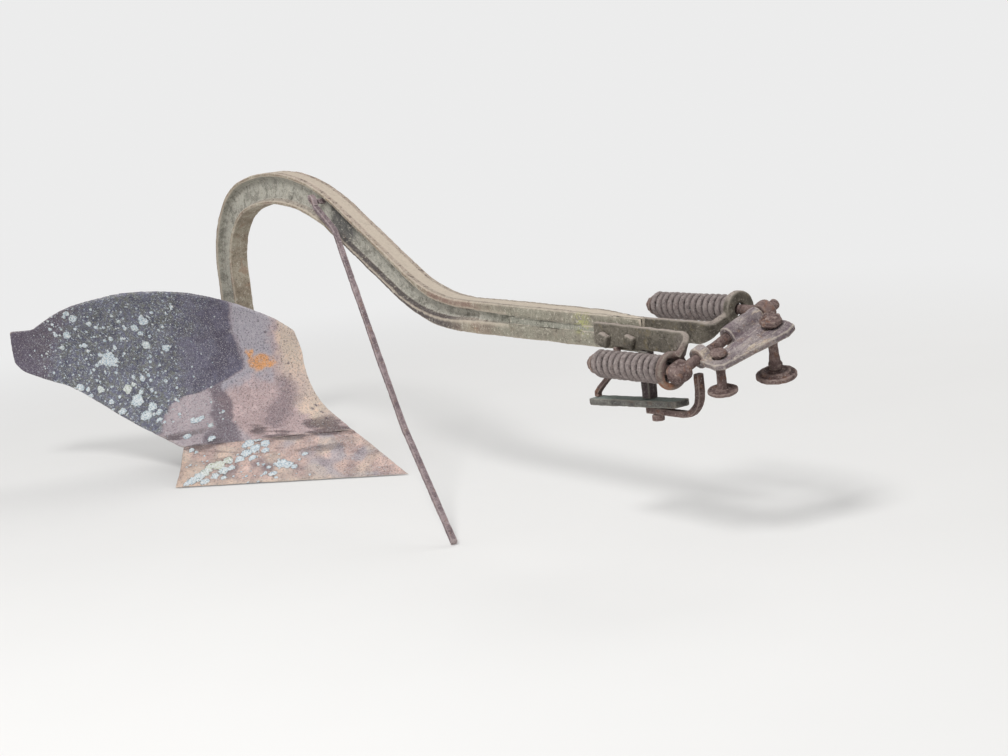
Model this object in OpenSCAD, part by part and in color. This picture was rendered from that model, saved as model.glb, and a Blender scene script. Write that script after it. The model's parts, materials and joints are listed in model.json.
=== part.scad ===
// Moldboard plough: one right-hand bottom on a gooseneck beam with a sprung hitch.
// Millimetres, +X is the line of travel, +Y is the landside, +Z is up, the floor is at zero.
// Shapes are drawn from the share's point, which then moves to its place in the frame.

/* [Bottom] */
// Width of the furrow slice, from the landside to the share's wing
cut_w = 286; // [270:1:300]
// Angle between the cutting edge and the line of travel
share_angle = 41; // [39:0.5:43]
// Further angle that the moldboard gains by its top
twist_angle = 3; // [0:0.5:6]
// Height at which the moldboard stands upright
turn_z = 185; // [180:1:189]
// Distance from the cutting edge to the upright line, square to the edge
bowl_reach = 209; // [205:1:214]
// Radius of the hollow below the upright line
bowl_r = 111; // [107:1:115]
// Radius of the overhang above the upright line
roll_r = 290; // [280:1:320]
// Thickness of the moldboard and of the share at their joint
plate_t = 6.5; // [5:0.5:9]
// Thickness of the worn cutting edge
edge_t = 2.5; // [2:0.5:4]
// Width of the joint between share and moldboard
joint_w = 228; // [222:1:233]
// Height of that joint at the landside
joint_z = 65; // [61:1:68]
// Height of that joint at its outer end
joint_end_z = 56; // [52:1:59]
// Height of the straight part of the shin
shin_z = 196; // [185:1:205]

/* [Frog and landside] */
// Thickness of the landside and of the frog's left cheek
landside_t = 12; // [10:0.5:16]
// Height of the landside bar
landside_h = 64; // [56:1:76]
// Distance from the share's point to the heel
heel_x = 560; // [540:1:620]
// Height of the frog's cheeks
cheek_z = 196; // [180:1:204]
// Thickness of the frog's right cheek
cheek_t = 16; // [12:1:20]
// Thickness of the pads under the moldboard and the share
pad_t = 14; // [10:1:18]
// Diameter of the brace behind the moldboard
brace_d = 20; // [14:1:24]

/* [Beam] */
// Width of the beam's flanges
flange_w = 37; // [34:1:42]
// Thickness of the flanges
flange_t = 9; // [7:0.5:11]
// Thickness of the web between them
web_t = 10; // [8:0.5:14]
// Distance from the share's point to the standard's centreline
standard_x = 499; // [490:1:510]
// Height of the standard's foot
foot_z = 76; // [72:1:90]
// Height at which the standard starts to bend
standard_z = 344; // [335:1:355]
// Radius of the gooseneck's rear
neck_r = 154; // [145:1:165]
// Turn of the gooseneck's rear
neck_turn = 77.3; // [74:0.1:80]
// Radius of the gooseneck's front
sweep_r = 448; // [430:1:470]
// Turn of the gooseneck's front
sweep_turn = 42.5; // [40:0.1:45]
// Length of the straight slope
slope_l = 203; // [190:1:215]
// Radius where the beam levels out
level_r = 359; // [340:1:380]
// Length of the straight nose
nose_l = 421; // [412:1:421]
// Dip of the nose below the level
nose_dip = 1.2; // [0.8:0.1:1.8]
// Depth of the section at the standard
foot_depth = 61; // [58:1:66]
// Depth of the section at the arch
arch_depth = 57; // [54:1:62]
// Depth of the section at the end of the slope
slope_depth = 52; // [48:1:56]
// Depth of the section at the nose
nose_depth = 46; // [42:1:50]

/* [Hitch] */
// Height of the flat bar that makes each strap
strap_h = 31; // [28:1:34]
// Thickness of the straps
strap_t = 9; // [7:0.5:11]
// Outer diameter of the discs at the straps' ends
disc_d = 50; // [46:1:56]
// Thickness of those discs
disc_t = 11; // [9:0.5:13]
// Diameter of the draw rods and the cross shaft
rod_d = 14; // [11:0.5:15]
// Diameter of the springs' wire
wire_d = 11.6; // [9:0.1:12]
// Outer diameter of the springs
spring_d = 39; // [38:0.5:42]
// Length of the near spring
near_spring_l = 142; // [130:1:150]
// Length of the far spring
far_spring_l = 158; // [150:1:170]
// Thickness of the hitch plate
hitch_t = 9; // [7:0.5:12]
// Diameter of the hitch pins
pin_d = 13; // [11:0.5:15]
// Drop of the near pin below the plate
near_pin_l = 39; // [36:1:46]
// Drop of the far pin below the plate
far_pin_l = 62; // [56:1:70]

/* [Lower bracket] */
// Length of the foot plate under the nose
foot_l = 178; // [170:1:190]
// Width of that plate
foot_w = 26; // [22:1:30]
// Thickness of that plate
foot_t = 10; // [9:0.5:11]
// Side of the square post
post_w = 16; // [14:0.5:18]

/* [Lift rod] */
// Side of the square lift rod
lift_w = 9; // [7:0.5:10]

/* [Hidden] */
$fn = 48;

// Place of the frame's origin, under the middle of the plough
frame_x = 80.7;
frame_y = -162;
// Gap between pieces that seat on each other
seat = 0.3;
// Gap between a shaft and its hole
bolt_fit = 0.2;

// Rusty colours of the pieces
moldboard_colour = [0.56, 0.42, 0.31];
iron_colour = [0.40, 0.33, 0.31];
beam_colour = [0.58, 0.52, 0.44];
strap_colour = [0.45, 0.44, 0.36];
spring_colour = [0.33, 0.25, 0.22];
plate_colour = [0.52, 0.46, 0.45];
bracket_colour = [0.42, 0.40, 0.34];

// Rise of the share, tangent to the hollow that follows it
centre_run = bowl_reach - bowl_r;
centre_rise = turn_z - edge_t;
centre_reach = norm([centre_run, centre_rise]);
share_rise = atan2(centre_rise, centre_run) - asin(bowl_r / centre_reach);
ramp_z = edge_t + sqrt(centre_reach ^ 2 - bowl_r ^ 2) * sin(share_rise);

// Distance of the surface behind the cutting edge at height z, square to the edge
function reach(z) =
    z < ramp_z ? (z - edge_t) / tan(share_rise)
    : z < turn_z ? centre_run + sqrt(max(0, bowl_r ^ 2 - (turn_z - z) ^ 2))
    : bowl_reach - roll_r + sqrt(roll_r ^ 2 - (z - turn_z) ^ 2);

// Angle of the surface's level lines to the line of travel at height z
function level_angle(z) = share_angle + twist_angle * z / tip_z;

// Point of the working surface, w to the right of the landside at height z
function face(w, z) = [-reach(z) / sin(share_angle) - w / tan(level_angle(z)), -w, z];

// Unit vector out of the back of the surface
function back_way(w, z) =
    let (across = face(w + 1, z) - face(w - 1, z))
    let (up = face(w, z + 1) - face(w, z - 1))
    let (way = cross(across, up))
    way / norm(way);

// Point at depth t behind the surface, kept inside the landside's plane and off the floor
function behind(w, z, t) =
    let (p = face(w, z) + t * back_way(w, z))
    [p[0], min(0, p[1]), max(0, p[2])];

// Point at depth t behind the surface that lies at a given y and height
function seated(y, z, t) =
    let (way_1 = back_way(-y, z))
    let (way_2 = back_way(-y + t * way_1[1], z - t * way_1[2]))
    [(face(-y + t * way_2[1], z - t * way_2[2]) + t * way_2)[0], y, z];

// Outline of the moldboard's top, then of its wing's lower edge: width, height
tip_w = 407;
tip_z = 284;
shin_top_w = 12;
shin_top_z = 238;
wing_low_w = 399;
wing_low_z = 224;
top_edge = [
    [shin_top_w, shin_top_z], [41, 265], [100, 302], [150, 323], [200, 336], [255, 339], [300, 331],
    [333, 321], [352, 308], [364, 296], [373, 286], [380, 284], [tip_w, tip_z]
];
wing_edge = [
    [joint_w, joint_end_z], [joint_w + 14, 74], [265, 102], [290, 133], [319, 163], [352, 181], [385, 202],
    [393, 212], [wing_low_w, wing_low_z]
];

// Smooth curve through a table of width and height
function span(table, w, i = 0) = i >= len(table) - 2 || w < table[i + 1][0] ? i : span(table, w, i + 1);
function slope(table, i) =
    let (a = table[max(0, i - 1)])
    let (b = table[min(len(table) - 1, i + 1)])
    (b[1] - a[1]) / (b[0] - a[0]);
function curve_at(table, w) =
    let (i = span(table, w))
    let (a = table[i])
    let (b = table[i + 1])
    let (run = b[0] - a[0])
    let (t = (w - a[0]) / run)
    let (ease = t * t * (3 - 2 * t))
    let (bend = slope(table, i) * t * (1 - t) ^ 2 - slope(table, i + 1) * t * t * (1 - t))
    a[1] * (1 - ease) + b[1] * ease + run * bend;
function mix(a, b, t) = a + (b - a) * t;

// Grid of the moldboard: columns from shin to wing, rows from joint to top
joint_cols = 14;
wing_cols = concat([for (k = [1:10]) k * 0.084], [0.875, 0.918, 0.945, 0.972, 1]);
mold_cols = joint_cols + len(wing_cols);
mold_rows = 16;
function wing_share(c) = c <= joint_cols ? 0 : wing_cols[c - joint_cols - 1];
function low_w(c) = c <= joint_cols ? joint_w * c / joint_cols : mix(joint_w, wing_low_w, wing_share(c));
function top_w(c) =
    c <= joint_cols ? mix(shin_top_w, tip_w, c / joint_cols / 2)
    : mix(mix(shin_top_w, tip_w, 0.5), tip_w, wing_share(c));
function low_z(c) =
    c <= joint_cols ? mix(joint_z, joint_end_z, c / joint_cols) : curve_at(wing_edge, low_w(c));
shin_share = (shin_z - joint_z) / (shin_top_z - joint_z);
function shin_w(v) = shin_top_w * max(0, v - shin_share) / (1 - shin_share);
function grid_w(c, r) =
    let (u = (top_w(c) - shin_top_w) / (tip_w - shin_top_w))
    let (v = r / mold_rows)
    mix(low_w(c), top_w(c), v) + (1 - u) * (shin_w(v) - shin_top_w * v);
function grid_z(c, r) = mix(low_z(c), curve_at(top_edge, top_w(c)), r / mold_rows);
function mold_face(c, r) = face(grid_w(c, r), grid_z(c, r));
function mold_back(c, r, t) = behind(grid_w(c, r), grid_z(c, r), t);

// Grid of the share: columns from point to wing, rows from edge to joint
share_rows = 8;
wing_hollow = 1;
function share_w(c, r) =
    let (u = c / joint_cols)
    let (v = r / share_rows)
    u * (mix(cut_w, joint_w, v) - wing_hollow * sin(180 * v));
function share_z(c, r) = mix(edge_t, mix(joint_z, joint_end_z, c / joint_cols), r / share_rows);
function share_t(r) = mix(edge_t, plate_t, min(1, 2 * r / share_rows));
function share_face(c, r) = face(share_w(c, r), share_z(c, r));
function share_back(c, r, t) =
    let (p = behind(share_w(c, r), share_z(c, r), t))
    [p[0], p[1], r == 0 ? 0 : p[2]];

// Closed plate between two grids of points, each a list of columns
module plate_between(front, back) {
    cols = len(front);
    rows = len(front[0]);
    half = cols * rows;
    quads = concat(
        [for (c = [0:cols - 2]) for (r = [0:rows - 2])
            let (a = c * rows + r) [a, a + rows, a + rows + 1, a + 1]],
        [for (c = [0:cols - 2]) for (r = [0:rows - 2])
            let (a = half + c * rows + r) [a + 1, a + rows + 1, a + rows, a]],
        [for (c = [0:cols - 2]) let (a = c * rows) [a, a + half, a + half + rows, a + rows]],
        [for (c = [0:cols - 2])
            let (a = c * rows + rows - 1) [a, a + rows, a + rows + half, a + half]],
        [for (r = [0:rows - 2]) [r, r + 1, r + 1 + half, r + half]],
        [for (r = [0:rows - 2])
            let (a = half - rows + r) [a, a + half, a + half + 1, a + 1]]
    );
    polyhedron(
        points = concat([for (column = front) each column], [for (column = back) each column]),
        faces = [for (q = quads) each [[q[0], q[1], q[2]], [q[0], q[2], q[3]]]]
    );
}

// Closed solid through a list of rings with the same number of points
module loft(rings) {
    sides = len(rings[0]);
    last = (len(rings) - 1) * sides;
    polyhedron(
        points = [for (ring = rings) each ring],
        faces = concat(
            [[for (k = [sides - 1:-1:0]) k]],
            [[for (k = [0:sides - 1]) last + k]],
            [for (i = [0:len(rings) - 2]) for (k = [0:sides - 1])
                let (a = i * sides + k)
                let (b = i * sides + (k + 1) % sides)
                each [[a, b, b + sides], [a, b + sides, a + sides]]]
        )
    );
}

module placed() {
    translate([-frame_x, -frame_y, 0]) children();
}

module moldboard() {
    color(moldboard_colour) placed() plate_between(
        [for (c = [0:mold_cols]) [for (r = [0:mold_rows]) mold_face(c, r)]],
        [for (c = [0:mold_cols]) [for (r = [0:mold_rows]) mold_back(c, r, plate_t)]]
    );
}

module share() {
    color(iron_colour) placed() plate_between(
        [for (c = [0:joint_cols]) [for (r = [0:share_rows]) share_face(c, r)]],
        [for (c = [0:joint_cols]) [for (r = [0:share_rows]) share_back(c, r, share_t(r))]]
    );
}

// Upright outline at a given y whose front edge follows the surface at a depth behind it
function profile(y, z_1, z_2, depth, rear) =
    let (steps = 12)
    concat(
        [for (k = [0:steps]) seated(y, mix(z_1, z_2, k / steps), depth)],
        [[-rear, y, z_2], [-rear, y, z_1]]
    );

sole_front_z = 8;
module landside() {
    heel_rise = 10;
    color(iron_colour) placed() {
        loft([for (y = [-landside_t, 0])
            profile(y, sole_front_z, landside_h, plate_t + seat, heel_x - heel_rise)]);
        front = seated(-landside_t, sole_front_z, plate_t + seat)[0];
        translate([-heel_x, -landside_t, 0]) cube([heel_x + front - heel_rise, landside_t, sole_front_z]);
        translate([-heel_x, -landside_t, sole_front_z])
            cube([heel_rise, landside_t, landside_h - sole_front_z - heel_rise]);
    }
}

// The standard stands between the frog's two cheeks
beam_y = -landside_t - seat - flange_w / 2;
right_cheek_y = beam_y - flange_w / 2 - seat;
frog_rear = standard_x + foot_depth / 2 + 14;
frog_low_z = 14;
function pad_column(c, t) = concat(
    [for (r = [4:share_rows - 1]) share_back(c, r, t)],
    [for (r = [0:10]) mold_back(c, r, t)]
);
module frog() {
    inset = plate_t + seat;
    block_rear = standard_x - foot_depth / 2 - seat;
    bed = inset + pad_t / 2;
    left_z = landside_h + seat;
    color(iron_colour) placed() {
        loft([
            profile(right_cheek_y - cheek_t, frog_low_z, cheek_z, bed, frog_rear),
            profile(right_cheek_y - seat, frog_low_z, cheek_z, bed, frog_rear),
            profile(right_cheek_y, frog_low_z, cheek_z, bed, block_rear),
            profile(-landside_t - seat, frog_low_z, cheek_z, bed, block_rear),
            profile(-landside_t, left_z, cheek_z, inset, frog_rear),
            profile(0, left_z, cheek_z, inset, frog_rear)
        ]);
        plate_between(
            [for (c = [2:10]) pad_column(c, inset)],
            [for (c = [2:10]) pad_column(c, inset + pad_t)]
        );
    }
}

module moldboard_brace() {
    foot = [-frog_rear + 22, right_cheek_y - cheek_t, 120];
    tip = mold_back(21, 7, plate_t + seat + pad_t + 4);
    run = tip - foot;
    color(iron_colour) placed() {
        translate(foot) rotate([90, 0, 0]) cylinder(h = 8, d = brace_d * 1.8);
        translate(foot + [0, -6, 0])
            rotate([0, acos((run[2]) / norm(run)), atan2(run[1], run[0])])
            cylinder(h = norm(run), d = brace_d);
        translate(tip) sphere(d = brace_d);
        plate_between(
            [for (c = [20:22]) [for (r = [6:8]) mold_back(c, r, plate_t + seat)]],
            [for (c = [20:22]) [for (r = [6:8]) mold_back(c, r, plate_t + seat + pad_t)]]
        );
    }
}

// Centreline of the beam: length, turn and depth at the end of each stretch
level_turn = neck_turn + sweep_turn - 90 - nose_dip;
function arc_length(radius, turn) = radius * turn * PI / 180;
beam_legs = [
    [standard_z - foot_z, 0, foot_depth],
    [arc_length(neck_r, neck_turn), -neck_turn, arch_depth],
    [arc_length(sweep_r, sweep_turn), -sweep_turn, mix(arch_depth, slope_depth, 0.5)],
    [slope_l, 0, slope_depth],
    [arc_length(level_r, level_turn), level_turn, mix(slope_depth, nose_depth, 0.5)],
    [nose_l, 0, nose_depth]
];

// State on the centreline: x, z, heading, depth, distance from the foot
function ahead(p, leg, t) =
    let (turn = leg[1] * t)
    let (radius = leg[1] == 0 ? 0 : leg[0] / (leg[1] * PI / 180))
    let (dx = leg[1] == 0 ? leg[0] * t * cos(p[2]) : radius * (sin(p[2] + turn) - sin(p[2])))
    let (dz = leg[1] == 0 ? leg[0] * t * sin(p[2]) : radius * (cos(p[2]) - cos(p[2] + turn)))
    [p[0] + dx, p[1] + dz, p[2] + turn, mix(p[3], leg[2], t), p[4] + leg[0] * t];
function walk(p, legs, i = 0) =
    i == len(legs) ? [p]
    : let (steps = legs[i][1] == 0 ? ceil(legs[i][0] / 45) : ceil(abs(legs[i][1]) / 3.5))
    concat(
        [for (k = [0:steps - 1]) ahead(p, legs[i], k / steps)],
        walk(ahead(p, legs[i], 1), legs, i + 1)
    );
beam_line = walk([-standard_x, foot_z, 90, foot_depth, 0], beam_legs);
nose = beam_line[len(beam_line) - 1];

// Outline of a band along the centreline, inset from the section's upper and lower edges
function side(p, out) = [p[0] - sin(p[2]) * out, p[1] + cos(p[2]) * out];
function band(line, upper, lower) = concat(
    [for (p = line) side(p, p[3] / 2 - upper(p))],
    [for (i = [len(line) - 1:-1:0]) side(line[i], -line[i][3] / 2 + lower(line[i]))]
);

// Pockets beside the web: they narrow where the beam levels out and get shallow along the nose
pocket_start = cheek_z + 8 - foot_z;
nose_start = nose[4] - nose_l;
level_start = nose_start - arc_length(level_r, level_turn);
level_middle = (level_start + nose_start) / 2;
pocket_depth = (flange_w - web_t) / 2;
function ramp(v, a, b) = min(1, max(0, (v - a) / (b - a)));
function upper_rim(p) =
    flange_t + 5 * ramp(p[4], level_start, level_middle) + 4 * ramp(p[4], nose_start, nose[4] - nose_l / 2);
function lower_rim(p) =
    flange_t + 5 * ramp(p[4], level_start, level_middle) + 7 * ramp(p[4], level_middle, nose_start);
// Each stretch of a pocket: start, end, depth
pockets = [
    [pocket_start, nose_start + nose_l * 0.1, pocket_depth],
    [nose_start, nose_start + nose_l * 0.3, pocket_depth * 0.55],
    [nose_start + nose_l * 0.2, nose_start + nose_l * 0.7, 2]
];
module beam() {
    scarf_l = 105;
    scarf_angle = atan((flange_w - 8) / scarf_l);
    color(beam_colour) placed() difference() {
        translate([0, beam_y + flange_w / 2, 0])
            rotate([90, 0, 0]) linear_extrude(height = flange_w)
            polygon(band(beam_line, function (p) 0, function (p) 0));
        for (pocket = pockets)
            for (y = [beam_y + flange_w / 2 + 1, beam_y - flange_w / 2 + pocket[2]])
                translate([0, y, 0]) rotate([90, 0, 0]) linear_extrude(height = pocket[2] + 1)
                    polygon(band(
                        [for (p = beam_line) if (p[4] >= pocket[0] && p[4] <= pocket[1] + 1) p],
                        function (p) upper_rim(p),
                        function (p) lower_rim(p)
                    ));
        translate([nose[0] - scarf_l, beam_y + flange_w / 2, nose[1] - nose_depth])
            rotate([0, 0, -scarf_angle]) cube([scarf_l * 1.5, flange_w * 2, nose_depth * 2]);
        for (x = bolt_x)
            translate([nose[0] + x, beam_y, nose[1] + bolt_z]) rotate([90, 0, 0])
                cylinder(h = flange_w * 3, d = bolt_d + 2 * bolt_fit, center = true);
        translate([hook[0], beam_y, hook[1]]) rotate([90, 0, 0])
            cylinder(h = flange_w * 2, d = hook_hole_d, center = true);
    }
}

// The hitch hangs on the beam's nose: its lengths and heights are measured from the nose's end
module hitched() {
    placed() translate([nose[0], 0, nose[1]]) children();
}

// Straps: flat bars that fold outwards into the legs, which end in discs
strap_pitch = 1.8;
near_strap_x = -90;
far_strap_x = -124;
near_strap_y = beam_y - flange_w / 2 - seat - strap_t / 2;
far_strap_y = beam_y + flange_w / 2 + seat + strap_t / 2;
strap_z = 1;
far_strap_yaw = 5.3;
fold_r = 12;
near_disc = [98, -88, -33];
far_disc = [76, 58, 21];

// Section of the bar in the fold, turned by angle about an axis that leans in the bar's plane
function fold_section(start, lean, hand, angle) =
    let (axis = [sin(lean), 0, cos(lean)])
    let (out = [cos(lean), 0, -sin(lean)])
    let (arc = angle * PI / 180)
    let (middle = start + fold_r / cos(lean)
        * (sin(lean) * arc * axis + cos(lean) * (out * sin(angle) + [0, hand, 0] * (1 - cos(angle)))))
    let (turned = function (v)
        let (along = v * axis)
        let (flat = v * out)
        let (wide = v[1] * hand)
        along * axis + (flat * cos(angle) - wide * sin(angle)) * out
        + [0, hand, 0] * (flat * sin(angle) + wide * cos(angle)))
    [middle, turned([0, 1, 0]), turned([0, 0, 1]), turned([1, 0, 0])];
function section_ring(s, low) = [
    for (corner = [[1, 1], [1, -low], [-1, -low], [-1, 1]])
        s[0] + s[1] * corner[0] * strap_t / 2 + s[2] * corner[1] * strap_h / 2
];
module strap(length, lean, hand, full_turn, leg_l, leg_low) {
    steps = 8;
    start = [length, 0, 0];
    folds = [for (k = [0:steps]) fold_section(start, lean, hand, full_turn * k / steps)];
    last = folds[steps];
    sections = concat(
        [[[0, 0, 0], [0, 1, 0], [0, 0, 1]]],
        folds,
        [[last[0] + last[3] * leg_l, last[1], last[2]]]
    );
    loft([for (i = [0:len(sections) - 1])
        section_ring(sections[i], mix(1, leg_low, max(0, i - 1) / (steps + 1)))]);
}

// Two square-headed bolts hold the straps on the nose
bolt_x = [-64, -11];
bolt_z = -7;
bolt_d = 12;
head_w = 17;
head_t = 9;
module bolt_holes() {
    for (x = bolt_x)
        translate([x, 0, bolt_z]) rotate([90, 0, 0])
            cylinder(h = 300, d = bolt_d + 2 * bolt_fit, center = true);
}
eye_d = 31;
disc_bore = eye_d + 2;
module disc_at(place) {
    translate(place + [-disc_t / 2, 0, 0]) rotate([0, 90, 0]) cylinder(h = disc_t, d = disc_d);
}
module rod_hole(place) {
    translate(place) rotate([0, 90, 0]) cylinder(h = disc_t * 4, d = disc_bore, center = true);
}
module near_strap() {
    color(strap_colour) hitched() difference() {
        union() {
            translate([near_strap_x, near_strap_y, strap_z])
                rotate([0, strap_pitch, 0]) strap(167, -32, -1, 118, 14, 0.2);
            disc_at(near_disc);
        }
        bolt_holes();
        rod_hole(near_disc);
    }
}
module far_strap() {
    color(strap_colour) hitched() difference() {
        union() {
            translate([far_strap_x, far_strap_y, strap_z + 1])
                rotate([0, strap_pitch, far_strap_yaw]) strap(176, 30, 1, 88, 42, 0.4);
            disc_at(far_disc);
        }
        bolt_holes();
        rod_hole(far_disc);
    }
}
module strap_bolts() {
    near_y = near_strap_y - strap_t / 2 - seat;
    far_y = far_strap_y + strap_t / 2 + seat + 150 * sin(far_strap_yaw);
    color(strap_colour) hitched() for (x = bolt_x) translate([x, near_y, bolt_z]) {
        rotate([90, 0, 0]) rotate([0, 0, 20]) linear_extrude(height = head_t) square(head_w, center = true);
        rotate([-90, 0, 0]) cylinder(h = far_y - near_y, d = bolt_d);
    }
}

// Springs: a wire along a helix, from the disc towards the rear
coil_r = (spring_d - wire_d) / 2;
coil_steps = 20;
wire_sides = 8;
module spring(length) {
    pitch = 13.1;
    run = length - wire_d;
    turns = run / pitch;
    steps = round(turns * coil_steps);
    lead = pitch / (2 * PI * coil_r);
    function ring(k) =
        let (a = 360 * turns * k / steps)
        let (out = [0, cos(a), sin(a)])
        let (along = [1, -lead * sin(a), lead * cos(a)] / norm([1, lead]))
        [for (j = [0:wire_sides - 1])
            let (b = 360 * j / wire_sides)
            [wire_d / 2 + run * k / steps, 0, 0] + out * coil_r
            + wire_d / 2 * (out * cos(b) + cross([0, -sin(a), cos(a)], out) * -sin(b))
        ];
    loft([for (k = [0:steps]) ring(k)]);
}
module near_spring() {
    color(spring_colour) hitched()
        translate(near_disc - [disc_t / 2 + seat + near_spring_l, 0, 0]) spring(near_spring_l);
}
module far_spring() {
    color(spring_colour) hitched()
        translate(far_disc - [disc_t / 2 + seat + far_spring_l, 0, 0]) spring(far_spring_l);
}

// The head of the hitch rolls about the line of travel and dips forwards
head_place = [119, -25, -10];
head_roll = 20;
head_dip = 8.5;
head_yaw = -4;
module head() {
    translate(head_place) rotate([0, 0, head_yaw]) rotate([head_roll, 0, 0])
        rotate([0, head_dip, 0]) children();
}
function head_point(v) =
    let (flat = [-sin(head_yaw), cos(head_yaw)] * v * cos(head_roll))
    head_place + [flat[0], flat[1], v * sin(head_roll)];

// Draw rods: a flange behind the spring, a shank through it and an eye on the cross shaft
eye_w = 17;
flange_disc_t = 3;
module draw_rod(disc, spring_l, v) {
    rear = disc[0] - disc_t / 2 - 2 * seat - spring_l - flange_disc_t;
    eye = head_point(v);
    front = [eye[0] - rod_d / 2 - 2, disc[1], disc[2]];
    difference() {
        union() {
            translate([rear, disc[1], disc[2]]) rotate([0, 90, 0])
                cylinder(h = flange_disc_t, d = spring_d - 10);
            translate([rear, disc[1], disc[2]]) rotate([0, 90, 0])
                cylinder(h = front[0] - rear, d = rod_d);
            translate(eye) rotate([0, 0, head_yaw]) rotate([head_roll - 90, 0, 0])
                cylinder(h = eye_w, d = eye_d, center = true);
        }
        translate(eye) rotate([0, 0, head_yaw]) rotate([head_roll - 90, 0, 0])
            cylinder(h = eye_w * 2, d = rod_d + 2 * bolt_fit, center = true);
    }
}
near_v = -67;
far_v = 88;
module near_rod() {
    color(iron_colour) hitched() draw_rod(near_disc, near_spring_l, near_v);
}
module far_rod() {
    color(iron_colour) hitched() draw_rod(far_disc, far_spring_l, far_v);
}
module cross_shaft() {
    overhang = 8;
    color(iron_colour) hitched() head()
        translate([0, near_v - eye_w / 2 - overhang, 0])
        rotate([-90, 0, 0]) cylinder(h = far_v - near_v + eye_w + 2 * overhang, d = rod_d);
}

// Hitch plate with two barrels round the shaft: outline in the head's own plane
barrel_d = 29;
plate_low = -7;
near_pin_at = [27, -25];
far_pin_at = [40, 58];
module hitch_plate() {
    outline = [[4, -40], [36, -42], [47, -34], [70, 60], [66, 76], [52, 80], [0, 76]];
    barrels = [[-37, 15], [18, 58]];
    color(plate_colour) hitched() head() difference() {
        union() {
            translate([0, 0, plate_low]) linear_extrude(height = hitch_t) difference() {
                polygon(outline);
                translate([-1, barrels[0][0] + barrels[0][1]])
                    square([barrel_d / 2 + 3, barrels[1][0] - barrels[0][0] - barrels[0][1]]);
            }
            for (b = barrels)
                translate([0, b[0], 0]) rotate([-90, 0, 0]) cylinder(h = b[1], d = barrel_d);
        }
        translate([0, -60, 0]) rotate([-90, 0, 0]) cylinder(h = 200, d = rod_d + 2 * bolt_fit);
        for (at = [near_pin_at, far_pin_at])
            pin_line(at) cylinder(h = 100, d = pin_d + 2 * bolt_fit, center = true);
    }
}

// Pins lean in their holes and hang nearer to the upright, washers at their lower ends
pin_tail = 6;
pin_lean = 11;
module pin_line(at) {
    translate([at[0], at[1], plate_low]) rotate([-pin_lean, 0, 0]) children();
}
module hitch_pin(at, drop, head_r, sides, head_h) {
    top = hitch_t / cos(pin_lean) + head_r * tan(pin_lean) + seat;
    pin_line(at) {
        translate([0, 0, top]) cylinder(h = head_h, r = head_r, $fn = sides);
        translate([0, 0, -drop - pin_tail]) cylinder(h = drop + pin_tail + top + 1, d = pin_d);
    }
}
module near_pin() {
    color(iron_colour) hitched() head() hitch_pin(near_pin_at, near_pin_l, 11, 48, 9);
}
module far_pin() {
    color(iron_colour) hitched() head() hitch_pin(far_pin_at, far_pin_l, 15, 6, 13);
}
near_washer_t = 5;
far_washer_t = 12;
module washer(at, drop, d, t) {
    pin_line(at) translate([0, 0, -drop]) difference() {
        cylinder(h = t, d = d);
        translate([0, 0, -1]) cylinder(h = t + 2, d = pin_d + 2 * bolt_fit);
    }
}
module near_washer() {
    color(iron_colour) hitched() head() washer(near_pin_at, near_pin_l, 40, near_washer_t);
}
module far_washer() {
    color(iron_colour) hitched() head() washer(far_pin_at, far_pin_l, 54, far_washer_t);
}

// Lower bracket under the nose
foot_pitch = -3.3;
foot_rear = [-103, near_strap_y, -100];
module foot_plate() {
    color(bracket_colour) hitched() translate(foot_rear) rotate([0, foot_pitch, 0])
        translate([0, -foot_w / 2, 0]) cube([foot_l, foot_w, foot_t]);
}
post_x = 11;
function foot_top(x) = foot_rear[2] + foot_t / cos(foot_pitch) - (x - foot_rear[0]) * tan(foot_pitch);
function strap_low(x) = strap_z - strap_h / 2 / cos(strap_pitch) - (x - near_strap_x) * tan(strap_pitch);
module post() {
    low = foot_top(post_x + post_w / 2) + seat;
    high = strap_low(post_x + post_w / 2) - seat;
    color(bracket_colour) hitched() translate([post_x - post_w / 2, near_strap_y - post_w / 2, low])
        cube([post_w, post_w, high - low]);
}

// Flat strap drawn along a list of centre points in the upright plane
function strip(points, t) =
    let (n = len(points))
    let (normals = [for (i = [0:n - 1])
        let (d = points[min(n - 1, i + 1)] - points[max(0, i - 1)]) [-d[1], d[0]] / norm(d)])
    concat(
        [for (i = [0:n - 1]) points[i] + normals[i] * t / 2],
        [for (i = [n - 1:-1:0]) points[i] - normals[i] * t / 2]
    );
module rear_hook() {
    t = 7;
    w = 9;
    top_x = -48;
    low_x = -98;
    path = [
        [top_x, strap_low(top_x + t / 2) - seat], [top_x, -39], [-62, -53], [-80, -67], [-91, -76],
        [low_x, -83], [low_x, foot_top(low_x + t / 2) + seat]
    ];
    color(bracket_colour) hitched() translate([0, near_strap_y + w / 2, 0])
        rotate([90, 0, 0]) linear_extrude(height = w) polygon(strip(path, t));
}
jay_t = 9;
jay_rear_x = 6;
jay_z = foot_top(jay_rear_x) - foot_t / cos(foot_pitch) - jay_t / 2 - seat;
module jay_bar() {
    w = 11;
    bend_r = 32;
    rise_x = 110;
    rise_z = -42;
    bow = [for (a = [270:15:360]) [rise_x - bend_r + bend_r * cos(a), jay_z + bend_r + bend_r * sin(a)]];
    path = concat([[jay_rear_x, jay_z]], bow, [[rise_x, rise_z]]);
    color(bracket_colour) hitched() translate([0, near_strap_y + w / 2, 0])
        rotate([90, 0, 0]) linear_extrude(height = w) polygon(strip(path, jay_t));
}
jay_bolt_x = 24;
nut_h = 9;
module jay_bolt() {
    color(bracket_colour) hitched() translate([jay_bolt_x, near_strap_y, 0]) {
        translate([0, 0, jay_z - jay_t / 2 - seat - nut_h]) cylinder(h = nut_h, d = 18, $fn = 6);
    }
}

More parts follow.
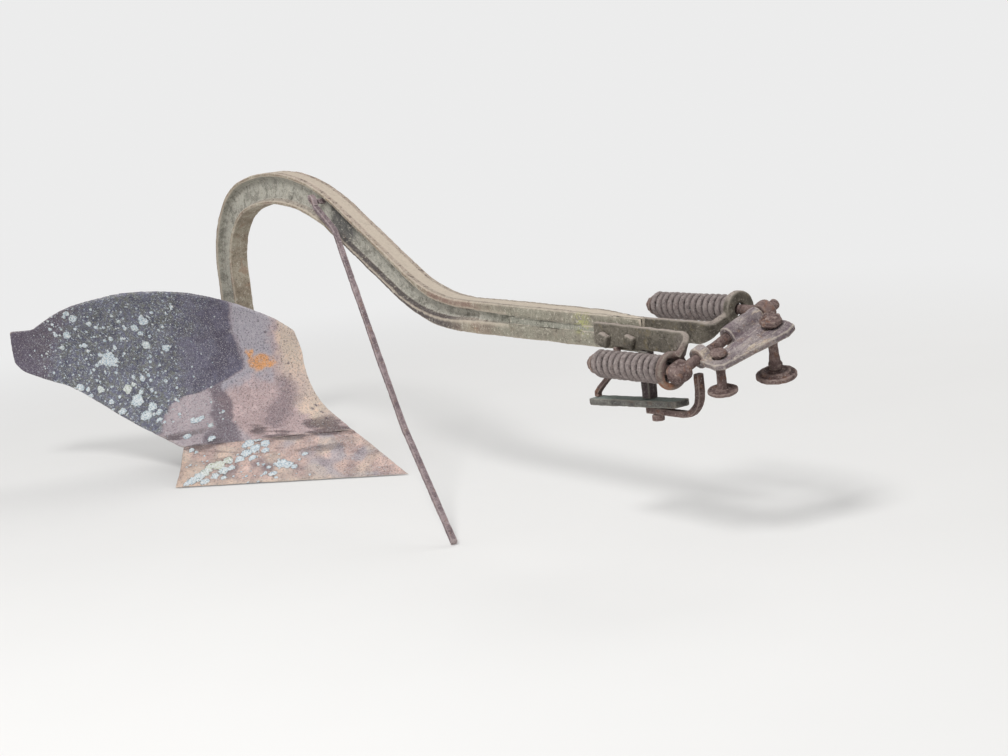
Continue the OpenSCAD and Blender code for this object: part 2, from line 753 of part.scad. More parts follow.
// Lift rod: hooked through the web, its foot on the floor
hook_share = 0.82;
hook_rise = 8;
neck_end = ahead(ahead(beam_line[0], beam_legs[0], 1), beam_legs[1], 1);
hook = side(ahead(neck_end, beam_legs[2], hook_share), hook_rise);
lift_pin_d = 9;
hook_hole_d = lift_pin_d + 2 * seat;
lift_start = [hook[0], beam_y - flange_w / 2 - lift_w - 1, hook[1]];
lift_bends = [[-17, -74, 433], [187, -139, 231], [274, -166, 146]];
lift_foot = [448, -213, 0];
function bar_ring(p, way, w) =
    let (side = [way[1], -way[0], 0] / norm([way[0], way[1]]))
    let (up = cross(side, way))
    [for (corner = [[1, 1], [-1, 1], [-1, -1], [1, -1]])
        p + side * corner[0] * w / 2 + up * corner[1] * w / 2];
module lift_rod() {
    path = concat([lift_start], lift_bends, [lift_foot]);
    last = len(path) - 1;
    rings = [for (i = [0:last])
        let (way = path[min(last, i + 1)] - path[max(0, i - 1)])
        bar_ring(path[i], way / norm(way), lift_w)];
    color(beam_colour) placed() {
        translate([hook[0], beam_y + web_t / 2 + 10, hook[1]]) rotate([90, 0, 0])
            cylinder(h = beam_y + web_t / 2 + 10 - lift_start[1], d = lift_pin_d);
        difference() {
            loft(rings);
            translate([lift_foot[0], lift_foot[1], -lift_w]) cube(lift_w * 2, center = true);
        }
    }
}

moldboard();
share();
landside();
frog();
moldboard_brace();
beam();
near_strap();
far_strap();
strap_bolts();
near_spring();
far_spring();
near_rod();
far_rod();
cross_shaft();
hitch_plate();
near_pin();
far_pin();
near_washer();
far_washer();
foot_plate();
post();
rear_hook();
jay_bar();
jay_bolt();
lift_rod();
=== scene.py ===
import json
import math
import random

import bmesh
import bpy
from mathutils import Matrix, Vector, noise
from mathutils.bvhtree import BVHTree


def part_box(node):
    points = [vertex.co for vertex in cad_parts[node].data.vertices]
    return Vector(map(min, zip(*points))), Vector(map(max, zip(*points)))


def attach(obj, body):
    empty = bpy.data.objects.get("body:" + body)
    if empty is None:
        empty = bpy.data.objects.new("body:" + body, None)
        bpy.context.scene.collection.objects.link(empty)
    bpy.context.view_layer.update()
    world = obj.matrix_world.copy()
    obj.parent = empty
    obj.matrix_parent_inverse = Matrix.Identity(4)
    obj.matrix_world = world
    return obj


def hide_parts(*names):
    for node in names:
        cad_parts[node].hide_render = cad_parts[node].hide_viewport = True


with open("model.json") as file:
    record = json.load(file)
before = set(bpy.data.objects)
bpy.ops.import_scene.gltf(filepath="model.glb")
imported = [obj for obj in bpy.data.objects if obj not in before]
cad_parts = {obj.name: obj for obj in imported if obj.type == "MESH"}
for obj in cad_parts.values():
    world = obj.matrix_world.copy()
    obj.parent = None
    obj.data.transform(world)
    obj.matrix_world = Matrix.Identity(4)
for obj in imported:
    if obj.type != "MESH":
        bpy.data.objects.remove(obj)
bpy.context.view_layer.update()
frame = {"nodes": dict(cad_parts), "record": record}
nodes = frame["nodes"]
random.seed(11)

# Origin of the plough's own frame (the share's point) in the row frame
POINT = Vector((-0.0807, 0.162, 0.0))
UP = Vector((0.0, 0.0, 1.0))
AHEAD = Vector((1.0, 0.0, 0.0))
LEFT = Vector((0.0, 1.0, 0.0))


def row(x, y, z):
    """A place in the plough's own frame (mm) as a place in the row frame."""
    return POINT + Vector((x, y, z)) / 1000.0


def placed(name, data):
    """A new object in the scene."""
    thing = bpy.data.objects.new(name, data)
    bpy.context.scene.collection.objects.link(thing)
    return thing


# ------------------------------ camera and light

# The fitted lens (mm), the pale background's brightness and the room's light on the plough
LENS = 58.93
PAPER = 0.84
ROOM_LIGHT = 0.5


def look_from(place, ahead, right, up):
    camera = placed("camera", bpy.data.cameras.new("camera"))
    m = Matrix((right, up, [-a for a in ahead])).transposed().to_4x4()
    m.translation = Vector(place)
    camera.matrix_world = m
    camera.data.lens = LENS
    camera.data.sensor_width = 36.0
    camera.data.clip_start = 0.05
    bpy.context.scene.camera = camera
    bpy.context.scene.view_settings.view_transform = "Standard"


look_from(
    (2.2922, -1.2893, 0.6214),
    (-0.80572, 0.56810, -0.16754),
    (0.58798, 0.80127, -0.11070),
    (-0.07135, 0.18770, 0.97963),
)


def soft_lamp(name, place, target, size, power):
    data = bpy.data.lights.new(name, "AREA")
    data.shape = "DISK"
    data.size = size
    data.energy = power
    lamp = placed(name, data)
    lamp.location = place
    lamp.rotation_euler = (Vector(target) - Vector(place)).to_track_quat("-Z", "Y").to_euler()


soft_lamp("key", (1.5, -1.7, 2.6), (0.0, 0.0, 0.25), 0.8, 70.0)
soft_lamp("fill", (-2.2, -1.8, 1.4), (0.0, 0.0, 0.25), 2.2, 14.0)
soft_lamp("back", (-0.4, 2.6, 2.4), (0.0, 0.0, 0.3), 2.0, 28.0)


# ------------------------------ node kit

def wire(tree, node, sockets):
    """Sets each named socket to a constant, or links it to another node's output."""
    for socket, value in sockets.items():
        if isinstance(value, bpy.types.NodeSocket):
            tree.links.new(value, node.inputs[socket])
        else:
            node.inputs[socket].default_value = value
    return node


def put(tree, kind, sockets):
    return wire(tree, tree.nodes.new(kind), sockets)


def reckon(tree, a, b, mode="MULTIPLY"):
    node = put(tree, "ShaderNodeMath", {0: a, 1: b})
    node.operation = mode
    return node.outputs[0]


def seen_itself(tree):
    """1 where a surface is looked at, in a mirror too, and 0 where it only sheds light."""
    path = tree.nodes.new("ShaderNodeLightPath").outputs
    seen = reckon(tree, path["Is Camera Ray"], path["Is Glossy Ray"], "MAXIMUM")
    return reckon(tree, seen, path["Is Transmission Ray"], "MAXIMUM")


def plain_world():
    world = bpy.data.worlds.new("studio")
    world.use_nodes = True
    tree = world.node_tree
    tree.nodes.clear()
    level = put(tree, "ShaderNodeMapRange",
                {"Value": seen_itself(tree), "To Min": ROOM_LIGHT, "To Max": PAPER})
    shade = put(tree, "ShaderNodeBackground",
                {"Color": (1.0, 1.0, 1.0, 1.0), "Strength": level.outputs["Result"]})
    put(tree, "ShaderNodeOutputWorld", {"Surface": shade.outputs[0]})
    bpy.context.scene.world = world


plain_world()


def linear(rgb):
    """Colour of 0 to 255 as seen on a screen, made linear."""
    def one(v):
        v /= 255.0
        return v / 12.92 if v <= 0.04045 else ((v + 0.055) / 1.055) ** 2.4
    return (one(rgb[0]), one(rgb[1]), one(rgb[2]), 1.0)


def dim(rgb, share):
    return [c * share for c in rgb]


class Paint:
    """A node material built from layers of colour over one another."""

    def __init__(self, name):
        self.mat = bpy.data.materials.new(name)
        self.mat.use_nodes = True
        self.tree = self.mat.node_tree
        self.tree.nodes.clear()
        self.skin = self.put("ShaderNodeBsdfPrincipled", {"Specular IOR Level": 0.12})
        self.out = self.put("ShaderNodeOutputMaterial", {"Surface": self.skin.outputs[0]})
        self.where = self.tree.nodes.new("ShaderNodeTexCoord").outputs["Object"]
        self.colour = None
        self.height = None

    def put(self, kind, sockets):
        return put(self.tree, kind, sockets)

    def noise(self, scale, detail, rough, at=(0, 0, 0), warp=0.0, stretch=(1, 1, 1)):
        move = self.put("ShaderNodeMapping", {"Vector": self.where, "Scale": stretch, "Location": at})
        node = self.put("ShaderNodeTexNoise", {
            "Vector": move.outputs[0], "Scale": scale, "Detail": detail, "Roughness": rough,
            "Distortion": warp})
        return node.outputs["Fac"]

    def attribute(self, name):
        node = self.tree.nodes.new("ShaderNodeAttribute")
        node.attribute_name = name
        return node.outputs["Fac"]

    def ramp(self, value, low, high):
        """0 at low and 1 at high, smooth between; the other way round where low is higher."""
        node = self.put("ShaderNodeMapRange", {"Value": value, "From Min": low, "From Max": high})
        node.interpolation_type = "SMOOTHSTEP"
        return node.outputs["Result"]

    def flecks(self, scale, detail, rough, at, low, high):
        """Ragged spots: noise cut between two levels."""
        return self.ramp(self.noise(scale, detail, rough, at), low, high)

    def times(self, a, b, mode="MULTIPLY"):
        return reckon(self.tree, a, b, mode)

    def upward(self):
        """How far the surface faces up, from -1 to 1."""
        normal = self.tree.nodes.new("ShaderNodeNewGeometry").outputs["Normal"]
        return self.put("ShaderNodeSeparateXYZ", {0: normal}).outputs[2]

    def ridges(self):
        return self.tree.nodes.new("ShaderNodeNewGeometry").outputs["Pointiness"]

    def near(self, place, inner, outer):
        """1 within inner metres of a place, fading to 0 at outer metres."""
        gap = self.put("ShaderNodeVectorMath", {0: self.where, 1: place})
        gap.operation = "DISTANCE"
        return self.ramp(gap.outputs["Value"], outer, inner)

    def mix(self, value, under, over):
        node = self.tree.nodes.new("ShaderNodeMix")
        node.data_type = "RGBA"
        wire(self.tree, node, {0: value, 6: under, 7: over})
        self.colour = node.outputs[2]

    def base(self, dark, light, value):
        self.mix(value, linear(dark), linear(light))

    def layer(self, colour, value, strength=1.0):
        """Lays a colour over what is there, where value is high."""
        if strength != 1.0:
            value = self.times(value, strength)
        self.mix(value, self.colour, linear(colour))

    def raise_by(self, value, amount):
        part = self.times(value, amount)
        self.height = part if self.height is None else self.times(self.height, part, "ADD")

    def between(self, low, high, value):
        level = self.put("ShaderNodeMapRange", {"Value": value, "To Min": low, "To Max": high})
        return level.outputs["Result"]

    def done(self, rough, bump=1.0):
        """Closes the material with its roughness and with what was raised, in mm."""
        sockets = {"Base Color": self.colour, "Roughness": rough}
        if self.height is not None:
            relief = self.put("ShaderNodeBump",
                              {"Height": self.height, "Distance": 0.001, "Strength": bump})
            sockets["Normal"] = relief.outputs["Normal"]
        wire(self.tree, self.skin, sockets)
        return self.mat


# ------------------------------ materials

def rust(name, dark, light, patch, speck, speck_share, scale=1.0, worn=None, top=None, extra=None):
    """Weathered iron: blotches of two colours, patches of a third, light and dark specks, and
    optionally a paler top, worn ridges and marks of the piece's own."""
    p = Paint(name)
    p.blotch = p.noise(24.0 * scale, 8.0, 0.72, warp=0.3)
    p.base(dark, light, p.ramp(p.blotch, 0.40, 0.60))
    p.layer(patch, p.flecks(38.0 * scale, 6.0, 0.72, (3, 1, 2), 0.54, 0.64), 0.7)
    if top:
        p.layer(top, p.times(p.ramp(p.upward(), 0.35, 0.9), p.ramp(p.blotch, 0.2, 0.5)), 0.85)
    if extra:
        extra(p)
    grain = p.noise(360.0, 4.0, 0.8)
    coarse = p.noise(170.0 * scale, 5.0, 0.75, (7, 5, 1))
    p.layer(dim(dark, 0.55), p.ramp(grain, 0.54, 0.64), 0.6)
    p.layer(dim(dark, 0.42), p.ramp(coarse, 0.42, 0.33), 0.6)
    p.layer(speck, p.ramp(coarse, 0.64 - speck_share * 0.25, 0.68), 0.75)
    p.layer(speck, p.flecks(520.0, 2.0, 0.6, (2, 9, 4), 0.62, 0.70), 0.5)
    if worn:
        p.layer(worn, p.ramp(p.ridges(), 0.505, 0.55), 0.75)
    p.layer(dim(dark, 0.45), p.ramp(p.ridges(), 0.488, 0.44), 0.7)
    p.raise_by(grain, 0.5)
    p.raise_by(coarse, 1.3)
    p.raise_by(p.noise(60.0, 5.0, 0.7), 0.8)
    return p.done(p.between(0.68, 0.95, p.blotch), 0.9)


# What the two plates store at each point, for their material to read
MASKS = ("lichen", "yellow", "tan", "blue", "warm", "orange", "shade", "purple", "mottle", "seam",
         "back")
# Colours that lie on the plates, 0 to 255 as seen on a screen, painted shade and a painted highlight among
# them
ASH, SLATE, SAND, CREAM = (126, 128, 116), (160, 164, 176), (204, 188, 172), (226, 200, 180)
OCHRE, ORANGE, DUSK, PLUM = (206, 166, 138), (220, 156, 92), (98, 88, 98), (104, 90, 100)
SOOT, BROWN, UMBER, INK = (72, 60, 62), (108, 86, 76), (72, 58, 52), (54, 50, 60)
SILVER, CRUMBS, LICHEN, LEMON = (196, 194, 196), (208, 220, 226), (202, 224, 238), (226, 226, 180)
HIGHLIGHT_WHITE, HOLLOW_SHADE, BARE = (252, 254, 254), (98, 98, 98), (204, 192, 178)


def lichened(name, dark, light):
    """Weathered plate: dark upper left (dark weathering and painted shadow), tan right, an orange stain and
    pale lichen.
    """
    p = Paint(name)
    mask = {n: p.attribute(n) for n in MASKS}
    soft = p.noise(26.0, 8.0, 0.75, warp=0.2)
    dust = p.noise(330.0, 5.0, 0.85)
    mid = p.noise(110.0, 6.0, 0.85, (2, 4, 8))
    clouds = p.ramp(soft, 0.50, 0.60)
    p.base(dark, dim(dark, 1.28), p.ramp(soft, 0.40, 0.60))
    p.layer(ASH, p.times(mask["mottle"], p.ramp(mid, 0.46, 0.58)), 0.75)
    p.layer(light, mask["tan"])
    p.layer(dim(light, 0.82), p.times(mask["tan"], p.ramp(mid, 0.50, 0.62)), 0.7)
    p.layer(dim(light, 1.14), p.times(mask["tan"], clouds), 0.6)
    p.layer(SLATE, mask["blue"], 0.8)
    p.layer(SAND, mask["warm"], 0.85)
    p.layer(CREAM, p.times(mask["warm"], clouds), 0.7)
    p.layer(OCHRE, mask["orange"], 0.8)
    p.layer(ORANGE, p.times(p.ramp(mask["orange"], 0.55, 1.0), p.ramp(mid, 0.38, 0.54)), 0.75)
    # DUSK: painted shade in the moldboard's two bands, with its dark dots; darker patches on the share
    p.layer(DUSK, mask["shade"], 0.8)
    p.layer(PLUM, mask["purple"], 0.75)
    p.layer(SOOT, mask["seam"], 0.8)
    p.layer(BROWN, mask["back"], 0.95)
    p.layer(UMBER, p.times(mask["back"], p.ramp(soft, 0.50, 0.62)), 0.8)
    p.layer(INK, p.ramp(dust, 0.53, 0.59), 0.7)
    p.layer(SILVER, p.flecks(430.0, 3.0, 0.8, (1, 8, 2), 0.56, 0.62), 0.6)
    p.layer(CRUMBS, p.times(mask["mottle"], p.flecks(230.0, 4.0, 0.8, (5, 5, 9), 0.585, 0.62)), 0.9)
    rag = p.times(p.noise(210.0, 5.0, 0.8, (4, 2, 2)), 0.5, "SUBTRACT")
    crust = p.ramp(p.times(mask["lichen"], p.times(rag, 1.7), "ADD"), 0.44, 0.56)
    curl = p.noise(380.0, 4.0, 0.8)
    p.layer(LICHEN, crust)
    p.layer(LEMON, p.times(crust, mask["yellow"]), 0.85)
    # Painted highlight: the crust's raised curls painted white; painted shade: its low parts grey
    p.layer(HIGHLIGHT_WHITE, p.times(crust, p.ramp(curl, 0.45, 0.53)), 0.95)
    p.layer(HOLLOW_SHADE, p.times(crust, p.ramp(curl, 0.43, 0.375)), 0.9)
    p.layer(BARE, p.ramp(p.ridges(), 0.52, 0.57), 0.7)
    p.raise_by(dust, 0.5)
    p.raise_by(mid, 0.8)
    p.raise_by(crust, 1.2)
    p.raise_by(p.times(crust, curl), 4.0)
    return p.done(p.between(0.7, 0.96, dust))


def beam_marks(p):
    """The beam's own colours and one painted shade: grey web, dark lower flange, painted shade in the near
    pocket by the rod, a yellow patch.
    """
    web = p.attribute("web")
    p.layer((178, 177, 168), web, 0.8)
    p.layer((128, 126, 118), p.times(web, p.flecks(40.0, 7.0, 0.75, (1, 2, 3), 0.49, 0.58)), 0.75)
    p.layer((128, 108, 98), p.times(p.attribute("tip"),
                                    p.flecks(34.0, 6.0, 0.7, (6, 2, 5), 0.46, 0.58)), 0.6)
    p.layer((84, 78, 80), p.attribute("low"), 0.92)
    p.layer((136, 112, 102), p.attribute("ruddy"), 0.7)
    p.layer((132, 132, 120), p.attribute("nose"), 0.65)
    # Painted shade in the near pocket by the lift rod
    p.layer((74, 74, 76), p.attribute("rod_shade"), 0.8)
    p.layer((92, 80, 76), p.times(p.ramp(p.upward(), 0.4, 0.8),
                                  p.flecks(90.0, 5.0, 0.8, (9, 1, 1), 0.54, 0.60)), 0.75)
    p.layer((166, 166, 112), p.times(p.near(row(585, -49, 300), 0.006, 0.026),
                                     p.flecks(120.0, 4.0, 0.7, (0, 0, 0), 0.44, 0.56)), 0.85)


def strap_marks(p):
    """The near strap's fold and ring are redder than its flat, with one bright rust patch."""
    p.layer((114, 96, 92), p.near(row(806, -86, 258), 0.022, 0.044), 0.85)
    p.layer((158, 108, 80), p.times(p.near(row(812, -102, 242), 0.006, 0.017),
                                    p.ramp(p.blotch, 0.35, 0.5)), 0.8)
    p.layer((126, 118, 112), p.near(row(800, -56, 284), 0.008, 0.02), 0.6)


def post_marks(p):
    p.layer((74, 62, 64), p.attribute("dark"), 0.85)


def plate_marks(p):
    """Streaks along the hitch plate and its barrels."""
    run = p.noise(70.0, 6.0, 0.75, (3, 3, 3), stretch=(1.0, 0.16, 0.5))
    p.layer((112, 98, 104), p.ramp(run, 0.50, 0.58), 0.8)
    p.layer((196, 180, 158), p.ramp(run, 0.44, 0.36), 0.7)


def coil_marks(p):
    """Painted shade in the grooves between the turns, a painted highlight in flecks on the turns' outer
    side, and light flakes.
    """
    deep = p.attribute("deep")
    # Painted highlight in flecks on the outer side of the wire
    p.layer((172, 162, 157), p.times(p.ramp(deep, 0.35, 0.02),
                                     p.flecks(150.0, 5.0, 0.8, (1, 7, 7), 0.46, 0.58)), 0.75)
    # Painted shade in the grooves between the turns
    p.layer((30, 25, 25), p.ramp(deep, 0.3, 0.85), 0.97)
    p.layer((206, 202, 200), p.flecks(95.0, 3.0, 0.6, (6, 6, 1), 0.67, 0.71), 0.9)


PAINTS = {
    # The moldboard's dark colour covers its upper left, where it is partly painted shadow
    "moldboard_steel": lichened("moldboard_rust", (88, 89, 104), (184, 163, 162)),
    "share_steel": lichened("share_rust", (112, 98, 98), (204, 178, 168)),
    "bottom_iron": rust("bottom_rust", (86, 72, 66), (128, 108, 96), (146, 106, 80), (156, 150, 142),
                        0.35),
    "beam_iron": rust("beam_rust", (142, 130, 114), (172, 164, 148), (150, 126, 108), (206, 200, 186),
                      0.35, 1.0, (196, 184, 168), (176, 160, 148), beam_marks),
    "strap_iron": rust("strap_rust", (86, 81, 74), (112, 106, 96), (118, 108, 86), (166, 158, 146),
                       0.35, 1.4, (150, 142, 132), (168, 156, 148), strap_marks),
    "spring_steel": rust("spring_rust", (68, 59, 59), (112, 102, 101), (118, 94, 82), (182, 176, 172),
                         0.6, 2.2, (140, 129, 126), None, coil_marks),
    "eye_iron": rust("eye_rust", (88, 72, 70), (124, 106, 102), (132, 98, 80), (172, 158, 150),
                     0.4, 1.8, (156, 140, 132)),
    "plate_iron": rust("plate_rust", (118, 108, 110), (154, 144, 142), (148, 124, 110),
                       (200, 192, 186), 0.35, 1.3, (186, 176, 164), None, plate_marks),
    "bracket_iron": rust("bracket_rust", (86, 84, 82), (122, 120, 114), (118, 104, 92),
                         (160, 162, 156), 0.3, 1.6, (140, 136, 128), (128, 138, 132), post_marks),
    "rod_iron": rust("rod_rust", (110, 96, 100), (152, 136, 138), (142, 118, 110), (198, 190, 188),
                     0.4, 2.0, (180, 166, 164)),
}


# ------------------------------ shape kit

def new_piece(name, mesh, slot, body="plough", stands_for=()):
    piece = placed(name, mesh)
    mesh.materials.clear()
    mesh.materials.append(PAINTS[slot])
    for face in mesh.polygons:
        face.use_smooth = True
    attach(piece, body)
    if stands_for:
        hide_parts(*stands_for)
    return piece


def store(mesh, masks):
    """Keeps masks on a mesh, point by point, for its material to read."""
    for name, column in masks.items():
        mesh.attributes.new(name, "FLOAT", "POINT").data.foreach_set("value", column)


def as_mesh(bm, name):
    mesh = bpy.data.meshes.new(name)
    bm.to_mesh(mesh)
    bm.free()
    return mesh


def remeshed(source, voxel):
    """A copy of a mesh in even quads, its overlapping shells made one."""
    copy = placed("work", source.copy())
    change = copy.modifiers.new("even", "REMESH")
    change.mode = "VOXEL"
    change.voxel_size = voxel
    bpy.context.view_layer.update()
    shown = copy.evaluated_get(bpy.context.evaluated_depsgraph_get())
    mesh = bpy.data.meshes.new_from_object(shown)
    bpy.data.objects.remove(copy)
    return mesh


def smooth(bm, rounds, share=0.5, hollows_only=False):
    """Evens the mesh; hollows_only fills inner corners and leaves the rest."""
    verts = list(bm.verts)
    near = [[e.other_vert(v) for e in v.link_edges] for v in verts]
    for _ in range(rounds):
        bm.normal_update()
        moved = []
        for v, around in zip(verts, near):
            middle = sum((n.co for n in around), Vector()) / len(around)
            step = (middle - v.co) * share
            if hollows_only and step.dot(v.normal) <= 0:
                step = Vector()
            moved.append(v.co + step)
        for v, place in zip(verts, moved):
            v.co = place


# Dents, grain and pits per metre, how rare the pits are, and how far out a point may move (m)
DENTS, GRAIN, PITS = 28.0, 140.0, 75.0
PIT_LEVEL = 0.35
MOST_OUT = 0.0012


def weather(mesh, dent, pit, seed, box=None, shape=None):
    """Dents, grain and pits, pressed into the surface, which stays inside a box."""
    shift = Vector((seed, seed * 0.7, -seed))
    bm = bmesh.new()
    bm.from_mesh(mesh)
    bm.normal_update()
    for v in bm.verts:
        place = v.co + shift
        wave = noise.noise(place * DENTS) - 0.15
        grain = noise.noise(place * GRAIN)
        hole = max(0.0, noise.noise(place * PITS) - PIT_LEVEL)
        push = dent * wave + pit * grain - pit * 5.0 * hole
        if shape:
            push += shape(v)
        v.co += v.normal * min(push, MOST_OUT)
    if box:
        for v in bm.verts:
            v.co = Vector([min(max(c, a), b) for c, a, b in zip(v.co, *box)])
    bm.to_mesh(mesh)
    bm.free()


def aged(source, voxel, rounds, fillet=0):
    """An even copy of a mesh, its inner corners filled and its ridges rounded."""
    mesh = remeshed(source, voxel)
    bm = bmesh.new()
    bm.from_mesh(mesh)
    if fillet:
        smooth(bm, fillet, 0.7, True)
    smooth(bm, rounds)
    bm.to_mesh(mesh)
    bm.free()
    return mesh


def worn(node, slot, voxel, rounds=3, dent=0.0006, pit=0.0003, shape=None, seed=0.0):
    """A CAD node as old iron: rounded ridges, dents and pits. It replaces the node."""
    mesh = aged(nodes[node].data, voxel, rounds)
    weather(mesh, dent, pit, seed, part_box(node), shape)
    return new_piece("worn_" + node, mesh, slot, "plough", (node,))


def forged(name, shells, slot, voxel, stands_for, rounds=3, dent=0.0006, pit=0.00035, seed=0.0, fillet=2):
    """Overlapping shells made into one rounded, weathered piece."""
    bmesh.ops.recalc_face_normals(shells, faces=shells.faces)
    mesh = aged(as_mesh(shells, "shells"), voxel, rounds, fillet)
    weather(mesh, dent, pit, seed)
    return new_piece(name, mesh, slot, "plough", stands_for)


def tube(bm, rings, closed=False):
    """Adds a closed skin through rings of points."""
    loops = [[bm.verts.new(p) for p in ring] for ring in rings]
    count = len(loops[0])
    for a, b in list(zip(loops, loops[1:])) + ([(loops[-1], loops[0])] if closed else []):
        for j in range(count):
            bm.faces.new((a[j], a[(j + 1) % count], b[(j + 1) % count], b[j]))
    if not closed:
        bm.faces.new(loops[0])
        bm.faces.new(list(reversed(loops[-1])))


def turned(bm, foot, way, profile, sides=40, turn=0.0, shape=None):
    """Adds a turned form on a line: profile gives heights along it and radii, in mm."""
    way = way.normalized()
    side = Vector((0.31, 0.2, 0.93)).cross(way).normalized()
    other = way.cross(side)
    rings = []
    for h, r in profile:
        ring = []
        for k in range(sides):
            a = turn + 2 * math.pi * k / sides
            size = r * (shape(a, h) if shape else 1.0)
            ring.append(foot + way * h / 1000 + (side * math.cos(a) + other * math.sin(a)) * size / 1000)
        rings.append(ring)
    tube(bm, rings)


def hoop(bm, centre, way, up, outer, half, inner, sides=64, corner=2.0):
    """Adds a flat ring; inner(angle) is the half-width of its opening. All in mm."""
    way = way.normalized()
    side = up.cross(way).normalized()
    top = way.cross(side)
    rings = []
    for k in range(sides):
        a = 2 * math.pi * k / sides
        out = side * math.cos(a) + top * math.sin(a)
        rim, hole = outer, inner(a)
        flat = half - corner
        corners = ((rim, flat), (rim - corner, half), (hole + corner, half), (hole, flat),
                   (hole, -flat), (hole + corner, -half), (rim - corner, -half), (rim, -flat))
        rings.append([centre + out * r / 1000 + way * h / 1000 for r, h in corners])
    tube(bm, rings, True)


def hexed(a, h=0.0):
    """Radius of a hexagon of unit inner radius at an angle, the same at each height."""
    b = (a % (math.pi / 3)) - math.pi / 6
    return 1.0 / math.cos(b)


def squared(a, half_a, half_b, power=5.0):
    """Half-width of a rounded rectangle at an angle."""
    return ((abs(math.cos(a)) / half_a) ** power + (abs(math.sin(a)) / half_b) ** power) ** (-1.0 / power)


def skin(name, rings, slot, body, node, masks=None, dent=0.0, pit=0.0, seed=0.0):
    """One closed mesh through rings of points, its two ends capped, in place of a node."""
    bm = bmesh.new()
    tube(bm, rings)
    bmesh.ops.recalc_face_normals(bm, faces=bm.faces)
    mesh = as_mesh(bm, name)
    if dent or pit:
        weather(mesh, dent, pit, seed)
    store(mesh, masks or {})
    return new_piece(name, mesh, slot, body, (node,))


def rounded(w, h, r, per_corner=4, per_side=3):
    """Outline of a bar's section, its corners rounded."""
    def at(k, turn):
        sx, sy = ((1, 1), (-1, 1), (-1, -1), (1, -1))[k % 4]
        a = math.radians(turn)
        return sx * (w / 2 - r) + r * math.cos(a), sy * (h / 2 - r) + r * math.sin(a)

    out = []
    for k in range(4):
        out += [at(k, 90 * k + 90 * i / per_corner) for i in range(per_corner + 1)]
        (ax, ay), (bx, by) = out[-1], at(k + 1, 90 * (k + 1))
        steps = [i / (per_side + 1) for i in range(1, per_side + 1)]
        out += [(ax + (bx - ax) * t, ay + (by - ay) * t) for t in steps]
    return out


def dense(points, radius, step):
    """A line of points whose corners are rounded, at even steps."""
    line = [points[0]]
    for a, b, c in zip(points, points[1:], points[2:]):
        cut = min(radius, (b - a).length * 0.48, (c - b).length * 0.48)
        p, q = b + (a - b).normalized() * cut, b + (c - b).normalized() * cut
        line += [p.lerp(b, t).lerp(b.lerp(q, t), t) for t in [k / 8 for k in range(9)]]
    line.append(points[-1])
    out = [line[0]]
    for a, b in zip(line, line[1:]):
        parts = max(1, int((b - a).length / step))
        out += [a.lerp(b, (k + 1) / parts) for k in range(parts)]
    return [p for i, p in enumerate(out) if i == 0 or (p - out[i - 1]).length > 1e-6]


def bar_rings(line, section, size=None):
    """Rings of a section along a line, carried round its bends without twist."""
    rings = []
    side = None
    for i, p in enumerate(line):
        way = (line[min(i + 1, len(line) - 1)] - line[max(i - 1, 0)]).normalized()
        if side is None:
            side = way.cross(UP).normalized()
        side = (side - way * side.dot(way)).normalized()
        top = side.cross(way)
        grow = size(i / (len(line) - 1)) if size else 1.0
        rings.append([p + side * a * grow + top * b * grow for a, b in section])
    return rings


def lin(value, low, high):
    return min(1.0, max(0.0, (value - low) / (high - low)))


def fade(value, low, high):
    t = lin(value, low, high)
    return t * t * (3 - 2 * t)


def along(line, value):
    """Value of a line of pairs at a place, straight between them."""
    if value <= line[0][0]:
        return line[0][1]
    for (a, u), (b, v) in zip(line, line[1:]):
        if value <= b:
            return u + (v - u) * (value - a) / (b - a)
    return line[-1][1]


def off_line(line, w, z):
    """Distance from a place to a bent line, in mm."""
    best = 1e9
    for (a, b), (c, d) in zip(line, line[1:]):
        t = ((w - a) * (c - a) + (z - b) * (d - b)) / ((c - a) ** 2 + (d - b) ** 2)
        t = min(1.0, max(0.0, t))
        best = min(best, math.hypot(w - a - (c - a) * t, z - b - (d - b) * t))
    return best


# ------------------------------ moldboard and share

def width_and_height(place):
    """How far right of the landside and how high a place is, in mm."""
    return -(place.y - POINT.y) * 1000.0, place.z * 1000.0


